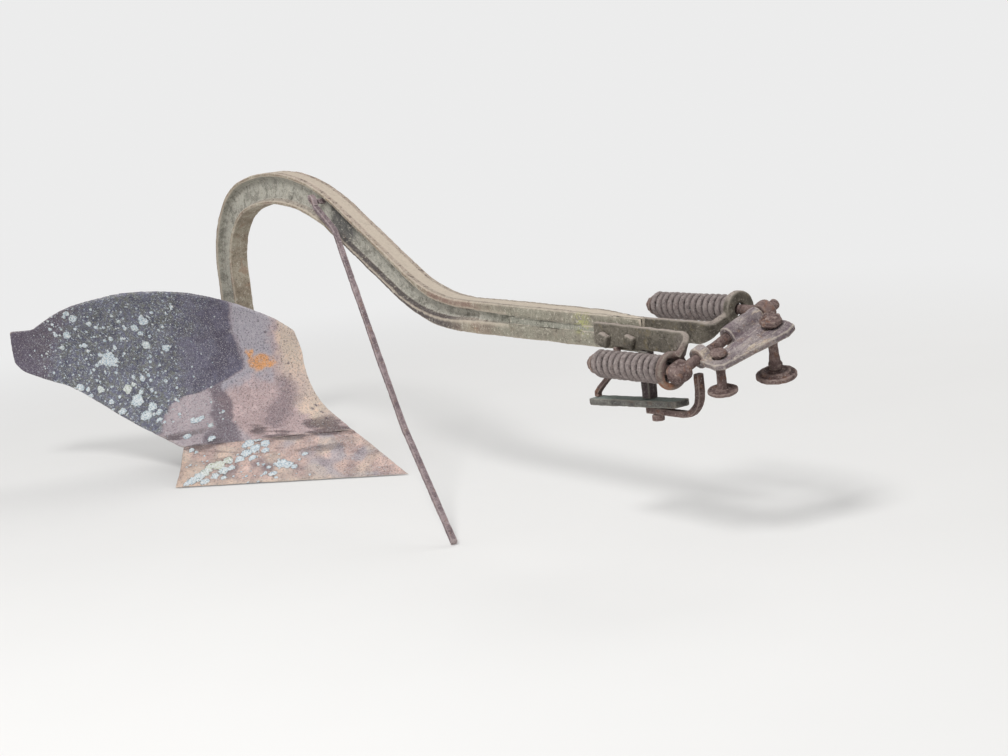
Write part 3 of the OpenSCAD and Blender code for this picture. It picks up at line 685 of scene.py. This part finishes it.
# Lichen colonies: width from the landside, height and radius (mm), and yellowness if any
COLONIES = [
    (265, 214, 12.1), (276, 209, 4.4), (185, 227, 6.2), (212, 235, 6.8, 0.2), (219, 284, 7.3),
    (229, 271, 5.8, 0.1), (221, 260, 3.9), (318, 301, 6.4), (329, 312, 4.4), (324, 269, 5.9),
    (340, 271, 3.5), (330, 245, 3.9, 0.2), (294, 287, 4.4), (283, 279, 3.4), (298, 245, 4.4),
    (262, 254, 3.9), (256, 236, 3.9), (247, 253, 3.4), (253, 287, 3.4, 0.2), (264, 299, 2.9, 0.2),
    (295, 316, 2.4), (243, 272, 2.9), (282, 157, 5.7, 0.5), (309, 164, 6.2), (299, 159, 3.8),
    (298, 146, 4.2), (237, 132, 10.1, 0.1), (245, 154, 7.1, 0.6), (221, 171, 4.8), (233, 176, 3.3),
    (210, 167, 2.8), (273, 133, 4.2), (264, 115, 5.4), (221, 119, 7.2, 0.1), (216, 109, 4.8),
    (236, 105, 7.9, 0.1), (223, 97, 3.8), (228, 147, 4.2, 0.2), (235, 162, 3.8, 0.4), (277, 224, 3.4),
    (176, 92, 4.9), (168, 95, 3.7), (183, 91, 2.9), (209, 70, 4.4), (166, 83, 3.2, 0.2), (182, 65, 4.3),
    (141, 119, 1.8), (134, 102, 2.5), (132, 145, 1.8), (195, 194, 2.4), (188, 182, 1.9, 0.2),
    (151, 186, 1.9), (151, 167, 1.9), (161, 218, 1.4), (196, 263, 2.4, 0.1), (205, 275, 1.9),
    (243, 223, 2.4), (282, 204, 2.9), (294, 234, 2.4), (307, 265, 2.0, 0.2), (346, 293, 2.5),
    (353, 300, 2.0), (352, 236, 2.0, 0.1), (369, 244, 1.5), (254, 201, 2.4), (271, 191, 1.9),
    (320, 209, 2.0, 0.1), (333, 216, 2.0), (196, 127, 1.8), (196, 112, 1.3),
]
SHARE_COLONIES = [
    (126, 60, 5.0), (124, 53, 5.0), (143, 55, 5.8), (143, 47, 6.5), (159, 42, 6.5), (175, 34, 5.0),
    (133, 44, 4.2), (158, 35, 4.2), (152, 52, 3.5), (191, 33, 5.7, 0.8), (207, 28, 7.2, 0.9),
    (196, 23, 4.2, 0.1), (209, 20, 5.7, 0.2), (219, 27, 5.7, 0.8), (231, 20, 6.5, 0.6),
    (225, 14, 4.5, 0.1), (245, 14, 6.4, 0.2), (259, 9, 5.7, 0.1), (267, 6, 4.2), (244, 7, 4.9, 0.1),
    (217, 11, 3.0, 0.1), (190, 31, 3.4, 0.3), (221, 50, 3.5, 0.1), (218, 47, 2.3, 0.1), (91, 36, 3.0),
    (131, 25, 6.4), (124, 23, 4.9), (120, 20, 3.3), (151, 21, 2.6), (156, 12, 3.7), (162, 14, 2.6),
    (151, 13, 2.6), (180, 3, 1.8), (193, 3, 1.5), (160, 25, 1.5), (178, 11, 1.1), (105, 29, 1.5),
]


def spots(count, box, low, high):
    """Many small scattered colonies inside a box of width and height."""
    return [(random.uniform(box[0], box[2]), random.uniform(box[1], box[3]),
             random.uniform(low, high) ** 2) for _ in range(count)]


# How far the plates run backwards for a mm of width and a mm of height, at each height
LEAN = [(0, -1.15), (20, -1.14), (40, -1.13), (60, -1.12), (80, -1.12), (120, -1.1), (160, -1.08),
        (200, -1.07), (240, -1.05), (280, -1.04), (320, -1.02)]
RISE = [(80, -2.63), (120, -0.97), (160, -0.25), (200, 0.16), (240, 0.38), (280, 0.61), (320, 0.89)]


def colony_at(w, z, place, colonies):
    """How much lichen lies at a place, 1 in a colony's middle and 0 outside, and how yellow it is."""
    cover = 0.0
    yellow = 0.0
    bend = noise.noise(place * 190.0) * 0.3
    lean, rise = along(LEAN, z), along(RISE, z)
    stretch = (1.0 + lean * lean + rise * rise) ** 0.25
    for cw, cz, r, *tint in colonies:
        dw, dz = w - cw, z - cz
        if abs(dw) > r * 2.6 or abs(dz) > r * 2.6:
            continue
        gap = math.sqrt(dw * dw + dz * dz + (lean * dw + rise * dz) ** 2)
        here = 1.0 - fade(gap / (r * stretch) + bend, 0.5, 1.5)
        if here > cover:
            cover = here
            yellow = tint[0] if tint else 0.0
    return cover, yellow


# How high the lichen stands (m)
CRUST = 0.0014


def dress(piece, colonies, paint):
    """Raises the lichen on a face and stores the masks that its material reads."""
    mesh = piece.data
    values = {n: [0.0] * len(mesh.vertices) for n in MASKS}
    moved = []
    for i, v in enumerate(mesh.vertices):
        w, z = width_and_height(v.co)
        cover = 0.0
        if v.normal.x < -0.1:
            values["back"][i] = 1.0
        else:
            cover, values["yellow"][i] = colony_at(w, z, v.co, colonies)
            values["lichen"][i] = cover
            for name, value in paint(w, z, v.co).items():
                values[name][i] = value
        crust = fade(cover, 0.35, 0.6) * (0.6 + 1.1 * noise.noise(v.co * 330.0))
        moved.append(v.co + v.normal * max(0.0, crust) * CRUST)
    for v, place in zip(mesh.vertices, moved):
        v.co = place
    store(mesh, values)


# The moldboard's marks, as width and height in mm: the edge of the dark upper left, partly dark weathering
# and partly painted shadow (the width at each height), two darker streaks of painted shade, the orange stain
# (with radii) and dark dots
WEATHER_AND_SHADOW_EDGE = [(50, 262), (90, 222), (119, 194), (133, 170), (138, 145), (150, 123), (175, 79),
             (230, 87), (266, 96), (309, 103)]
SHADE_BAND = [(126, 150), (127, 118), (143, 88), (156, 70), (182, 62)]
SHADE_STREAK = [(33, 146), (38, 124), (60, 101), (88, 80)]
RUST_SPOTS = [(57, 188, 21), (72, 203, 11), (45, 180, 12)]
DARK_DOTS = [(22, 178), (23, 158), (29, 137), (50, 241), (12, 102), (13, 91), (16, 82), (20, 97)]


def moldboard_paint(w, z, place):
    """The moldboard's masks at a place; blur makes their edges ragged."""
    blur = noise.noise(place * 24.0) * 9.0 + noise.noise(place * 95.0) * 6.0
    # Dark upper left: partly the plate's dark weathering and partly painted shadow; light is the area
    # outside it
    dark = fade(w - along(WEATHER_AND_SHADOW_EDGE, z) + blur * 0.5, -4.0, 5.0)
    light = 1.0 - dark
    # Two bands of painted shade across the moldboard
    band = fade(off_line(SHADE_BAND, w, z) + blur * 0.5, 15.0, 9.0)
    streak = fade(off_line(SHADE_STREAK, w, z) + blur * 0.8, 17.0, 3.0)
    spot = max(fade(math.hypot(w - a, z - b) + blur * 1.1, r, r * 0.35) for a, b, r in RUST_SPOTS)
    halo = fade(w + blur, 34.0, 56.0) * fade(z + blur * 2.0, 128.0, 165.0)
    fold = fade(ripple(w, z), 0.05, 0.32) * fade(abs(z - seam_z(w) - 6.0), 22.0, 6.0)
    low_left = fade(w, 128.0, 140.0) * light
    dots = max(fade(math.hypot(w - a, z - b), 2.6, 1.2) for a, b in DARK_DOTS)
    wing = fade(w + z * 0.2 + blur, 372.0, 400.0)
    mottled = dark * fade(w + blur * 3.0, 120.0, 190.0) * fade(w, 395.0, 330.0)
    return {
        "tan": light,
        "blue": light * max(0.85 * halo, 0.45 * low_left),
        "warm": fade(w + blur * 1.5, 46.0, 26.0) * (0.6 + noise.noise(place * 16.0)),
        "orange": spot,
        # Painted shade in the two bands, and the dark dots
        "shade": max(0.9 * band * light, 0.6 * streak, dots),
        "purple": max(0.8 * wing, 0.4 * dark * fade(w + blur * 3.0, 200.0, 120.0)),
        "mottle": mottled + 0.4 * low_left,
        "seam": 0.9 * fold,
    }


def ripple(w, z):
    """Long low folds along the foot of the moldboard."""
    long = noise.noise(Vector((w * 0.016, z * 0.10 + w * 0.004, 3.0)))
    return long + 0.5 * noise.noise(Vector((w * 0.04, z * 0.26, 8.0)))


def share_paint(w, z, place):
    """The share's masks at a place; blur makes their edges ragged."""
    blur = noise.noise(place * 30.0) * 10.0 + noise.noise(place * 110.0) * 5.0
    right = fade(w + blur, 118.0, 92.0)
    dusk = fade(abs(z - 20.0 - blur * 0.4), 16.0, 5.0) * fade(w, 100.0, 128.0) * fade(w, 232.0, 210.0)
    fold = fade(ripple(w, z), 0.02, 0.30)
    top = fade(seam_z(w) - z + blur * 0.3, 12.0, 3.0)
    edge = fade(z + blur * 0.4, 11.0, 4.0) * fade(w, 60.0, 110.0)

    def cloud(scale, low, high, shift=0):
        return fade(noise.noise(place * scale + Vector((shift, shift, shift))), low, high)
    return {
        "tan": 1.0,
        "warm": max(0.75 * fade(w + blur, 218.0, 240.0), 0.8 * edge, 0.55 * cloud(22.0, 0.0, 0.3)),
        "seam": max(0.85 * fold * top, 0.55 * fold * fade(z, 24.0, 40.0)),
        "shade": max(0.75 * dusk * cloud(40.0, -0.35, 0.15), 0.35 * right * cloud(34.0, -0.1, 0.25)),
        "purple": 0.35 * cloud(38.0, -0.05, 0.3, 4),
        "blue": 0.7 * right * cloud(30.0, 0.2, -0.2),
        "orange": 0.3 * fade(w + blur, 232.0, 262.0),
        "mottle": 0.5 * cloud(33.0, 0.1, 0.3),
    }


def seam_z(w):
    """Height of the joint between share and moldboard."""
    return 65.0 - 9.0 * lin(w, 0.0, 228.0)


def plate_shape(v):
    """Shallow hammered waves of the plates, and folds where share and moldboard meet."""
    w, z = width_and_height(v.co)
    folds = fade(abs(z - seam_z(w)), 26.0, 6.0) * ripple(w, z)
    return 0.0010 * noise.noise(v.co * 9.0) + 0.0005 * noise.noise(v.co * 21.0) - 0.0022 * max(0.0, folds)


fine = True
moldboard = worn("moldboard", "moldboard_steel", 0.0019 if fine else 0.004, 8, 0.0004, 0.0002, plate_shape)
dress(moldboard, COLONIES + spots(70, (175, 90, 350, 310), 1.3, 1.75)
      + spots(120, (175, 90, 360, 315), 1.0, 1.4) + spots(90, (120, 70, 385, 325), 0.8, 1.25),
      moldboard_paint)
share = worn("share", "share_steel", 0.0016 if fine else 0.0035, 4, 0.0006, 0.0003, plate_shape, 2.0)
dress(share, SHARE_COLONIES + spots(34, (90, 4, 250, 50), 0.9, 1.4), share_paint)


# ------------------------------ the other worn pieces

worn("landside", "bottom_iron", 0.0025, seed=4.0)
worn("frog", "bottom_iron", 0.0032, 4, 0.0008, 0.0004, seed=5.0)
worn("moldboard_brace", "bottom_iron", 0.0022, seed=6.0)
for name, slot, voxel in (
    ("hitch_plate", "plate_iron", 0.0014), ("foot_plate", "bracket_iron", 0.0014),
    ("post", "bracket_iron", 0.0012), ("rear_hook", "eye_iron", 0.0010),
    ("jay_bar", "eye_iron", 0.0010), ("jay_bolt", "eye_iron", 0.0010),
):
    piece = worn(name, slot, voxel, 3, 0.0005, 0.0003, seed=float(len(name)) + voxel * 1000.0)
    if name == "post":
        store(piece.data, {"dark": [1.0] * len(piece.data.vertices)})


# ------------------------------ hitch

# Each spring's axis (y, z) and the face of the strap that it bears on (x), in the plough's frame
NEAR_AXIS, NEAR_FACE = (-88, 255.86), 808.24
FAR_AXIS, FAR_FACE = (58, 309.86), 786.24
# The strap bolts: each one's x, the y of its far nut and how far its head is turned
STRAP_BOLTS = ((646.24, 3.0, 0.5), (699.24, 8.0, 0.9))
BOLT_Z = 281.86
# The cross shaft's direction and middle, the hitch plate's thickness and how far the pins lean
SHAFT = Vector((0.0655, 0.9374, 0.3420))
HEAD = row(829.24, -25, 278.86)
PLATE = 9.0
PIN_LEAN = math.radians(11)


def near_strap():
    """A flat bar folded out to a ring with an almost square opening."""
    bm = bmesh.new()
    line = dense([row(620.24, -54.1, 289.86), row(803.5, -54.1, 284.1), row(806.5, -78, 265)], 0.011, 0.003)
    tube(bm, bar_rings(line, rounded(0.009, 0.031, 0.0016), lambda t: 1.0 + 0.02 * math.sin(t * 40.0)))
    hoop(bm, row(NEAR_FACE, *NEAR_AXIS), AHEAD, Vector((0, 0.25, 1)), 25.0, 5.6,
         lambda a: squared(a, 13.0, 15.5))
    forged("worn_near_strap", bm, "strap_iron", 0.0013, ("near_strap",), 3, seed=11.0, fillet=4)


def far_strap():
    """The CAD's own strap, its bore closed in round the rod."""
    bm = bmesh.new()
    bm.from_mesh(nodes["far_strap"].data)
    hoop(bm, row(FAR_FACE, *FAR_AXIS), AHEAD, UP, 24.0, 5.4, lambda a: 9.0)
    forged("worn_far_strap", bm, "strap_iron", 0.0014, ("far_strap",), 3, seed=12.0, fillet=3)


def strap_bolts():
    """Square heads on the near side, nuts and bolt ends on the far one."""
    bm = bmesh.new()
    for x, far_y, spin in STRAP_BOLTS:
        turned(bm, row(x, 0, BOLT_Z), -LEFT, [(0, 6.0), (66, 6.0)], 24)
        turned(bm, row(x, -58.6, BOLT_Z), -LEFT,
               [(-0.4, 9.0), (0.6, 9.6), (6.0, 9.4), (8.2, 8.2), (9.2, 5.4), (9.4, 0.5)], 64, spin,
               lambda a, h: squared(a, 1.0, 1.0, 7.0))
        nut = row(x, far_y, BOLT_Z)
        turned(bm, nut, LEFT, [(0, 9.2), (1, 10.0), (8.0, 10.0), (9.2, 9.0)], 48, 0.3, hexed)
        turned(bm, nut, LEFT, [(0, 5.8), (13.0, 5.8), (14.2, 4.6)], 24)
    forged("worn_strap_bolts", bm, "strap_iron", 0.0010, ("strap_bolts",), 2, 0.0008, 0.0005, 13.0, 1)


def lathed(node, voxel, rounds, pit, seed, fillet, *forms, dent=0.0008):
    """Turned forms made into one piece that replaces a node."""
    bm = bmesh.new()
    for form in forms:
        turned(bm, *form)
    forged("worn_" + node, bm, "eye_iron", voxel, (node,), rounds, dent, pit, seed, fillet)


def draw_rod(name, face, axis, spring_l, v, knob):
    """Flange behind the spring, shank through it and a rounded knob on the cross shaft."""
    disc, seat, flange = 5.5, 0.6, 3.0
    rear = face - disc - seat - spring_l - flange
    eye = HEAD + SHAFT * v / 1000
    run = (eye.x - row(rear, 0, 0).x) * 1000
    lathed(name, 0.0012, 3, 0.0005, 14.0 + v * 0.1, 2,
           (row(rear, *axis), AHEAD, [(0, 13.8), (0.6, 14.5), (flange, 14.5)], 40),
           (row(rear - 9, *axis), AHEAD, [(0, 8.6), (1, 9.6), (9.2, 9.6)], 48, 0.2, hexed),
           (row(rear - 13, *axis), AHEAD, [(0, 5.8), (1, 6.8), (run + 11, 7.0)], 28),
           (eye, SHAFT, knob, 40))


def hang(mount, drop):
    """Foot and upward direction of a draft pin, from the record's mount in the middle of its drop."""
    facts = [m for m in frame["record"]["mounts"] if m["name"] == mount][0]
    down = Vector(facts["axis"])
    return Vector(facts["pos_m"]) + down * drop / 2000, -down


def over_plate(foot, up, drop, reach):
    """Where a head of a given reach clears the leaning plate, in m."""
    return foot + up * (drop + PLATE / math.cos(PIN_LEAN) + reach * math.tan(PIN_LEAN) + 0.3) / 1000


def uneven(depth, climb):
    return lambda a, h: 1.0 + depth * math.sin(a * 3 + h * climb)


def crown(a, h):
    """A castellated nut: six flats below, and six slots in a round collar above 8 mm."""
    slot = 0.62 if h > 8.0 and math.cos(6 * a + 1.0) > 0.35 else 1.0
    return (1.0 + (hexed(a) - 1.0) * (0.8 if h < 8.0 else 0.25)) * slot


def near_pin():
    drop = 39.0
    foot, up = hang("near_draft_pin", drop)
    lathed("near_pin", 0.0010, 2, 0.0006, 21.0, 2,
           (foot, up, [(-6, 5.6), (-5, 6.5), (20, 6.3), (52, 6.5)], 28, 0, uneven(0.04, 0.3)),
           (over_plate(foot, up, drop, 11), up,
            [(0, 10.6), (1, 11.6), (4.6, 11.2), (7.4, 8.6), (8.6, 4.6), (8.8, 0.6)], 36))
    lathed("near_washer", 0.0010, 2, 0.0005, 22.0, 0,
           (foot, up, [(-0.6, 19.2), (1.6, 20.0), (4.2, 19.6), (4.8, 17.4), (3.4, 12.0), (3.6, 9.4),
                       (5.4, 9.0), (5.6, 6.9)], 56), dent=0.0007)


def far_pin():
    drop = 62.0
    foot, up = hang("far_draft_pin", drop)
    nut = over_plate(foot, up, drop, 15)
    lathed("far_pin", 0.0011, 2, 0.0007, 23.0, 0,
           (foot, up, [(-7, 5.0), (-6, 6.5), (0, 6.5), (12, 6.6), (14, 9.2), (20, 9.4), (24, 7.4),
                       (40, 6.3), (52, 6.8), (76, 6.5)], 32, 0, uneven(0.05, 0.25)),
           (nut, up, [(0, 13.4), (1, 14.4), (7.0, 14.2), (7.9, 13.0), (8.2, 12.8), (12.0, 12.4),
                      (12.8, 11.4)], 72, 0.2, crown),
           (nut - up * 0.002, up, [(0, 12.0), (11.5, 11.0), (12.4, 6.0)], 36))
    lathed("far_washer", 0.0012, 2, 0.0007, 24.0, 0,
           (foot, up, [(0, 20.0), (0.2, 25.5), (1.6, 27.0), (6.4, 27.0), (7.8, 25.6), (8.0, 23.6),
                       (7.0, 22.6), (7.2, 21.2), (10.8, 19.8), (11.8, 17.6), (11.4, 14.6), (9.6, 13.4),
                       (9.8, 10.2), (12.0, 9.4), (12.0, 6.9)], 64), dent=0.0009)


near_strap()
far_strap()
strap_bolts()
draw_rod("near_rod", NEAR_FACE, NEAR_AXIS, 142.0, -67.0,
         [(-17, 7.0), (-16, 10.4), (-12.5, 13.0), (-6, 14.6), (2, 15.0), (7.5, 14.4), (9.2, 12.6),
          (9.4, 8.0)])
draw_rod("far_rod", FAR_FACE, FAR_AXIS, 158.0, 88.0,
         [(-9.4, 8.0), (-9.2, 12.6), (-7.5, 14.6), (0, 15.5), (7.5, 14.6), (9.2, 12.6), (9.4, 8.0)])
lathed("cross_shaft", 0.0012, 2, 0.0005, 15.0, 0,
       (HEAD + SHAFT * -0.074, SHAFT, [(0, 6.2), (1, 7.0), (183, 7.0), (184.5, 6.0)], 32), dent=0.0007)
near_pin()
far_pin()


# ------------------------------ beam

# The centreline: where it starts (x, z), then each stretch's length (mm), its turn
# (degrees) and the depth at its end (mm)
BEAM_FOOT = (-499.0, 76.0)
LEGS = [(268.0, 0.0, 61.0), (207.77, -77.3, 57.0), (332.3, -42.5, 54.5), (203.0, 0.0, 52.0),
        (179.2, 28.6, 49.0), (421.0, 0.0, 46.0)]
BEAM_END = sum(leg[0] for leg in LEGS)
# The pockets beside the web: where each stage starts and ends, and how deep it is (mm)
STEPS = [(128.0, 1232.4, 13.5), (1190.3, 1316.6, 7.4), (1274.5, 1485.0, 2.0)]
# The web's middle plane, and half the beam's width (mm)
BEAM_Y, HALF_WIDE = -30.8, 18.5
# The scarf at the nose: its length, and what it takes off half the width (mm)
SCARF, THINNED = 105.0, 14.5
# The flanges: thickness, outer corners' and roots' radii (mm), and the slope of their inner faces
FLANGE, CORNER, ROOT, TAPER = 9.0, 2.2, 4.5, 0.26
# What a point of the section belongs to, from the top to the foot
TOP, RIM, SLOPE, WEB, LOW_SLOPE, LOW_RIM, FOOT = range(7)


def beam_at(s):
    """Centre of the beam at a length along it: x, z, heading and depth (mm and radians)."""
    (x, z), heading, depth = BEAM_FOOT, math.radians(90.0), LEGS[0][2]
    for length, turn, end in LEGS:
        part = min(s, length)
        bend = math.radians(turn) * part / length
        if abs(turn) < 1e-6:
            x += math.cos(heading) * part
            z += math.sin(heading) * part
        else:
            r = length / math.radians(turn)
            x += r * (math.sin(heading + bend) - math.sin(heading))
            z -= r * (math.cos(heading + bend) - math.cos(heading))
        heading += bend
        depth += (end - depth) * part / length
        s -= part
        if s <= 1e-9:
            break
    return x, z, heading, depth


def pocket(s):
    return max(fade(s, a, a + 9.0) * fade(s, b, b - 9.0) * depth for a, b, depth in STEPS)


def flange(thick, half_depth, reach, deep):
    """One side of the upper flange, from its middle to its fillet: distance out, height, part."""
    c = CORNER
    edge = half_depth - thick + deep * TAPER * 0.75
    root = half_depth - thick - deep * TAPER * 0.25
    r = min(ROOT, deep * 0.35)
    out = [(reach * t, half_depth, TOP) for t in (0.0, 0.3, 0.6, 0.85)]
    out += [(reach - c + c * math.sin(a), half_depth - c + c * math.cos(a), RIM)
            for a in (0.2, 0.7, 1.2, 1.57)]
    out += [(reach, half_depth - c + (edge + 1.2 - half_depth + c) * t, RIM) for t in (0.33, 0.66, 1.0)]
    out += [(reach - min(deep, 0.9), edge, SLOPE)]
    out += [(reach - deep * t, edge + (root - edge) * t, SLOPE) for t in (0.25, 0.5, 0.72)]
    out += [(reach - deep + r * (1 - math.sin(a)), root - r * (1 - math.cos(a)) * 1.1, WEB)
            for a in (0.5, 1.0, 1.57)]
    return out


def half_section(s, depth, reach):
    """One side of the I section from the top to the foot; the lower flange is the upper's mirror."""
    deep = min(pocket(s), reach)
    both = FLANGE + 5.0 * lin(s, 1011.0, 1100.7)
    upper = flange(both + 4.0 * lin(s, 1190.3, 1400.8), depth / 2, reach, deep)
    lower = flange(both + 7.0 * lin(s, 1100.7, 1190.3), depth / 2, reach, deep)
    lower = [(u, -v, FOOT - part) for u, v, part in lower[:0:-1]]
    high, low = upper[-1][1], lower[0][1]
    web = [(reach - deep, high + (low - high) * t, WEB) for t in (0.15, 0.3, 0.44, 0.58, 0.72, 0.86)]
    return upper + web + lower


def beam_masks(part, near_side, s):
    """The beam's masks on a part of its section, at a length along it with a ragged edge (mm)."""
    return {
        "tip": 1.0 if part in (RIM, LOW_RIM) else 0.0,
        "nose": fade(s, 1230.0, 1300.0) if part != TOP else 0.6 * fade(s, 900.0, 1250.0),
        "web": 1.0 if part in (SLOPE, WEB) else 0.45 if part == LOW_SLOPE else 0.0,
        "low": (part >= LOW_SLOPE) * fade(s, 790.0, 860.0) * fade(s, 1225.0, 1130.0),
        "ruddy": (part in (RIM, SLOPE)) * fade(s, 1060.0, 1110.0) * fade(s, 1250.0, 1200.0),
        # Painted shade in the near side's pocket by the rod
        "rod_shade": (near_side and SLOPE <= part <= LOW_SLOPE) * fade(s, 766.0, 782.0) * fade(s, 880.0, 835.0),
    }


def beam():
    """The gooseneck I-beam as one skin, narrowed evenly to its scarfed nose."""
    rings = []
    masks = {n: [] for n in beam_masks(TOP, False, 0.0)}
    count = int(BEAM_END / (3.0 if fine else 6.0))
    for k in range(-1, count + 2):
        s = min(BEAM_END, max(0.0, BEAM_END * k / count))
        x, z, heading, depth = beam_at(s)
        shrink = 1.5 if k in (-1, count + 1) else 0.0
        reach = HALF_WIDE - THINNED * lin(s, BEAM_END - SCARF, BEAM_END)
        half = half_section(s, depth - 2 * shrink, reach - shrink)
        middle = reach - HALF_WIDE
        ring = []
        for u, v, part in [(-u, v, part) for u, v, part in half] + half[::-1]:
            u += middle
            place = row(x - math.sin(heading) * v, BEAM_Y + u, z + math.cos(heading) * v)
            ring.append(place)
            ragged = noise.noise(place * 30.0) * 18.0
            for name, value in beam_masks(part, u < 0, s + ragged).items():
                masks[name].append(value)
        rings.append(ring)
    skin("worn_beam", rings, "beam_iron", "plough", "beam", masks, 0.0009, 0.00045, 7.0)


beam()


# ------------------------------ lift rod

# The lift rod's joint in the web's plane: x and height (mm)
HINGE = (-108.438, 479.54)


def lift_rod():
    """A square rod, its top curled over and turned into the beam's web on the joint's own axis."""
    hx, hz = HINGE
    neck = (hx + 15, -61.5, hz - 8)
    shank = [(448, -213, 4.0), (274, -166, 146), (187, -139, 231), (-17, -74, 433), neck]
    curl = [neck, (hx + 9, -60.5, hz + 8), (hx - 5, -58.5, hz + 9), (hx - 5, -56, hz), (hx, -48, hz),
            (hx, -20, hz)]
    line = dense([row(*p) for p in shank], 0.008, 0.003) + dense([row(*p) for p in curl], 0.006, 0.0015)[1:]
    skin("worn_lift_rod", bar_rings(line, rounded(0.009, 0.009, 0.0014)), "rod_iron", "lift_rod", "lift_rod",
         None, 0.0005, 0.0003, 9.0)


lift_rod()


# ------------------------------ springs

# Thickness of the wire, and from turn to turn (m)
WIRE, PITCH = 0.0099, 0.0117


def wound(name):
    """A coil spring of round wire, rough and unevenly thick, in a node's own box."""
    low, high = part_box(name)
    half = WIRE / 2
    coil = (high.y - low.y) / 2 - half - 0.0003
    middle = (low + high) / 2
    run = high.x - low.x - WIRE
    turns = run / PITCH
    sides = 16
    steps = int(turns * 56)
    rings = []
    deep = []
    for k in range(steps + 1):
        a = 2 * math.pi * turns * k / steps
        out = Vector((0, math.cos(a), math.sin(a)))
        sway = 0.0006 * noise.noise(Vector((a * 0.7, 5.0, low.y * 40.0)))
        centre = Vector((low.x + half + run * k / steps + sway, middle.y, middle.z)) + out * coil
        ring = []
        for j in range(sides):
            b = 2 * math.pi * j / sides
            way = out * math.cos(b) + AHEAD * math.sin(b)
            place = centre + way * half
            size = 0.96 + 0.12 * noise.noise(place * 130.0) + 0.10 * noise.noise(place * 420.0)
            ring.append(centre + way * min(half * size, half + 0.0003))
            # deep: 0 on the coil's outer side and 1 towards the grooves, where its material paints shade
            deep.append(1.0 - fade(math.cos(b), 0.1, 0.85))
        rings.append(ring)
    skin("worn_" + name, rings, "spring_steel", "plough", name, {"deep": deep})


wound("near_spring")
wound("far_spring")


# ------------------------------ bolts of the bottom

# Where each line starts, its direction and the nut's half width (plough frame, mm)
BOTTOM_BOLTS = [
    ((-700, -70, 150), (1, 0, 0), 9), ((-700, -70, 205), (1, 0, 0), 9), ((-700, -104, 60), (1, 0, 0), 9),
    ((-700, -150, 60), (1, 0, 0), 9), ((-700, -110, 130), (1, 0, 0), 9),
    ((-499, 80, 105), (0, -1, 0), 10), ((-499, 80, 165), (0, -1, 0), 10),
    ((-499, -120, 105), (0, 1, 0), 10), ((-499, -120, 165), (0, 1, 0), 10),
    ((-440, 80, 30), (0, -1, 0), 9), ((-560, 80, 30), (0, -1, 0), 9),
]


def bottom_bolts():
    """Hexagon nuts with bolt ends, each seated on whatever it meets along its own line."""
    meshes = [nodes[n].data for n in ("frog", "moldboard_brace", "landside", "moldboard")]
    solids = [BVHTree.FromPolygons([v.co for v in m.vertices], [list(f.vertices) for f in m.polygons])
              for m in meshes]
    bm = bmesh.new()
    for start, way, r in BOTTOM_BOLTS:
        start, way = row(*start), Vector(way)
        hits = [t.ray_cast(start, way) for t in solids]
        hits = [h for h in hits if h[0] is not None]
        if not hits:
            continue
        place, normal = min(hits, key=lambda h: h[3])[:2]
        if normal.dot(way) > 0:
            normal = -normal
        seat = place - normal * 0.0008
        turned(bm, seat, normal, [(0, r * 0.94), (0.8, r), (r * 0.85, r), (r * 0.97, r * 0.88)],
               48, start.z * 30.0, hexed)
        turned(bm, seat, normal, [(0, r * 0.58), (r * 1.35, r * 0.58), (r * 1.5, r * 0.44)], 24)
    forged("bottom_bolts", bm, "bottom_iron", 0.0012, (), 2, 0.0006, 0.0004, 31.0, 1)


bottom_bolts()


# ------------------------------ floor

def floor():
    """A round pale floor that runs into the background, with no edge in view."""
    bm = bmesh.new()
    bmesh.ops.create_circle(bm, cap_ends=True, segments=96, radius=60.0)
    ground = placed("floor", as_mesh(bm, "floor"))
    ground.location.z = -0.0005
    p = Paint("floor_paint")
    p.base((224, 223, 221), (228, 227, 225), p.noise(3.0, 2.0, 0.6))
    ground.data.materials.append(p.done(0.9))
    shadowed = p.times(p.near(Vector(), 0.9, 2.8), 0.75)
    plain = p.times(seen_itself(p.tree), p.times(1.0, shadowed, "SUBTRACT"))
    glow = p.put("ShaderNodeEmission", {"Strength": PAPER})
    mixed = p.put("ShaderNodeMixShader", {0: plain, 1: p.skin.outputs[0], 2: glow.outputs[0]})
    wire(p.tree, p.out, {"Surface": mixed.outputs[0]})


floor()
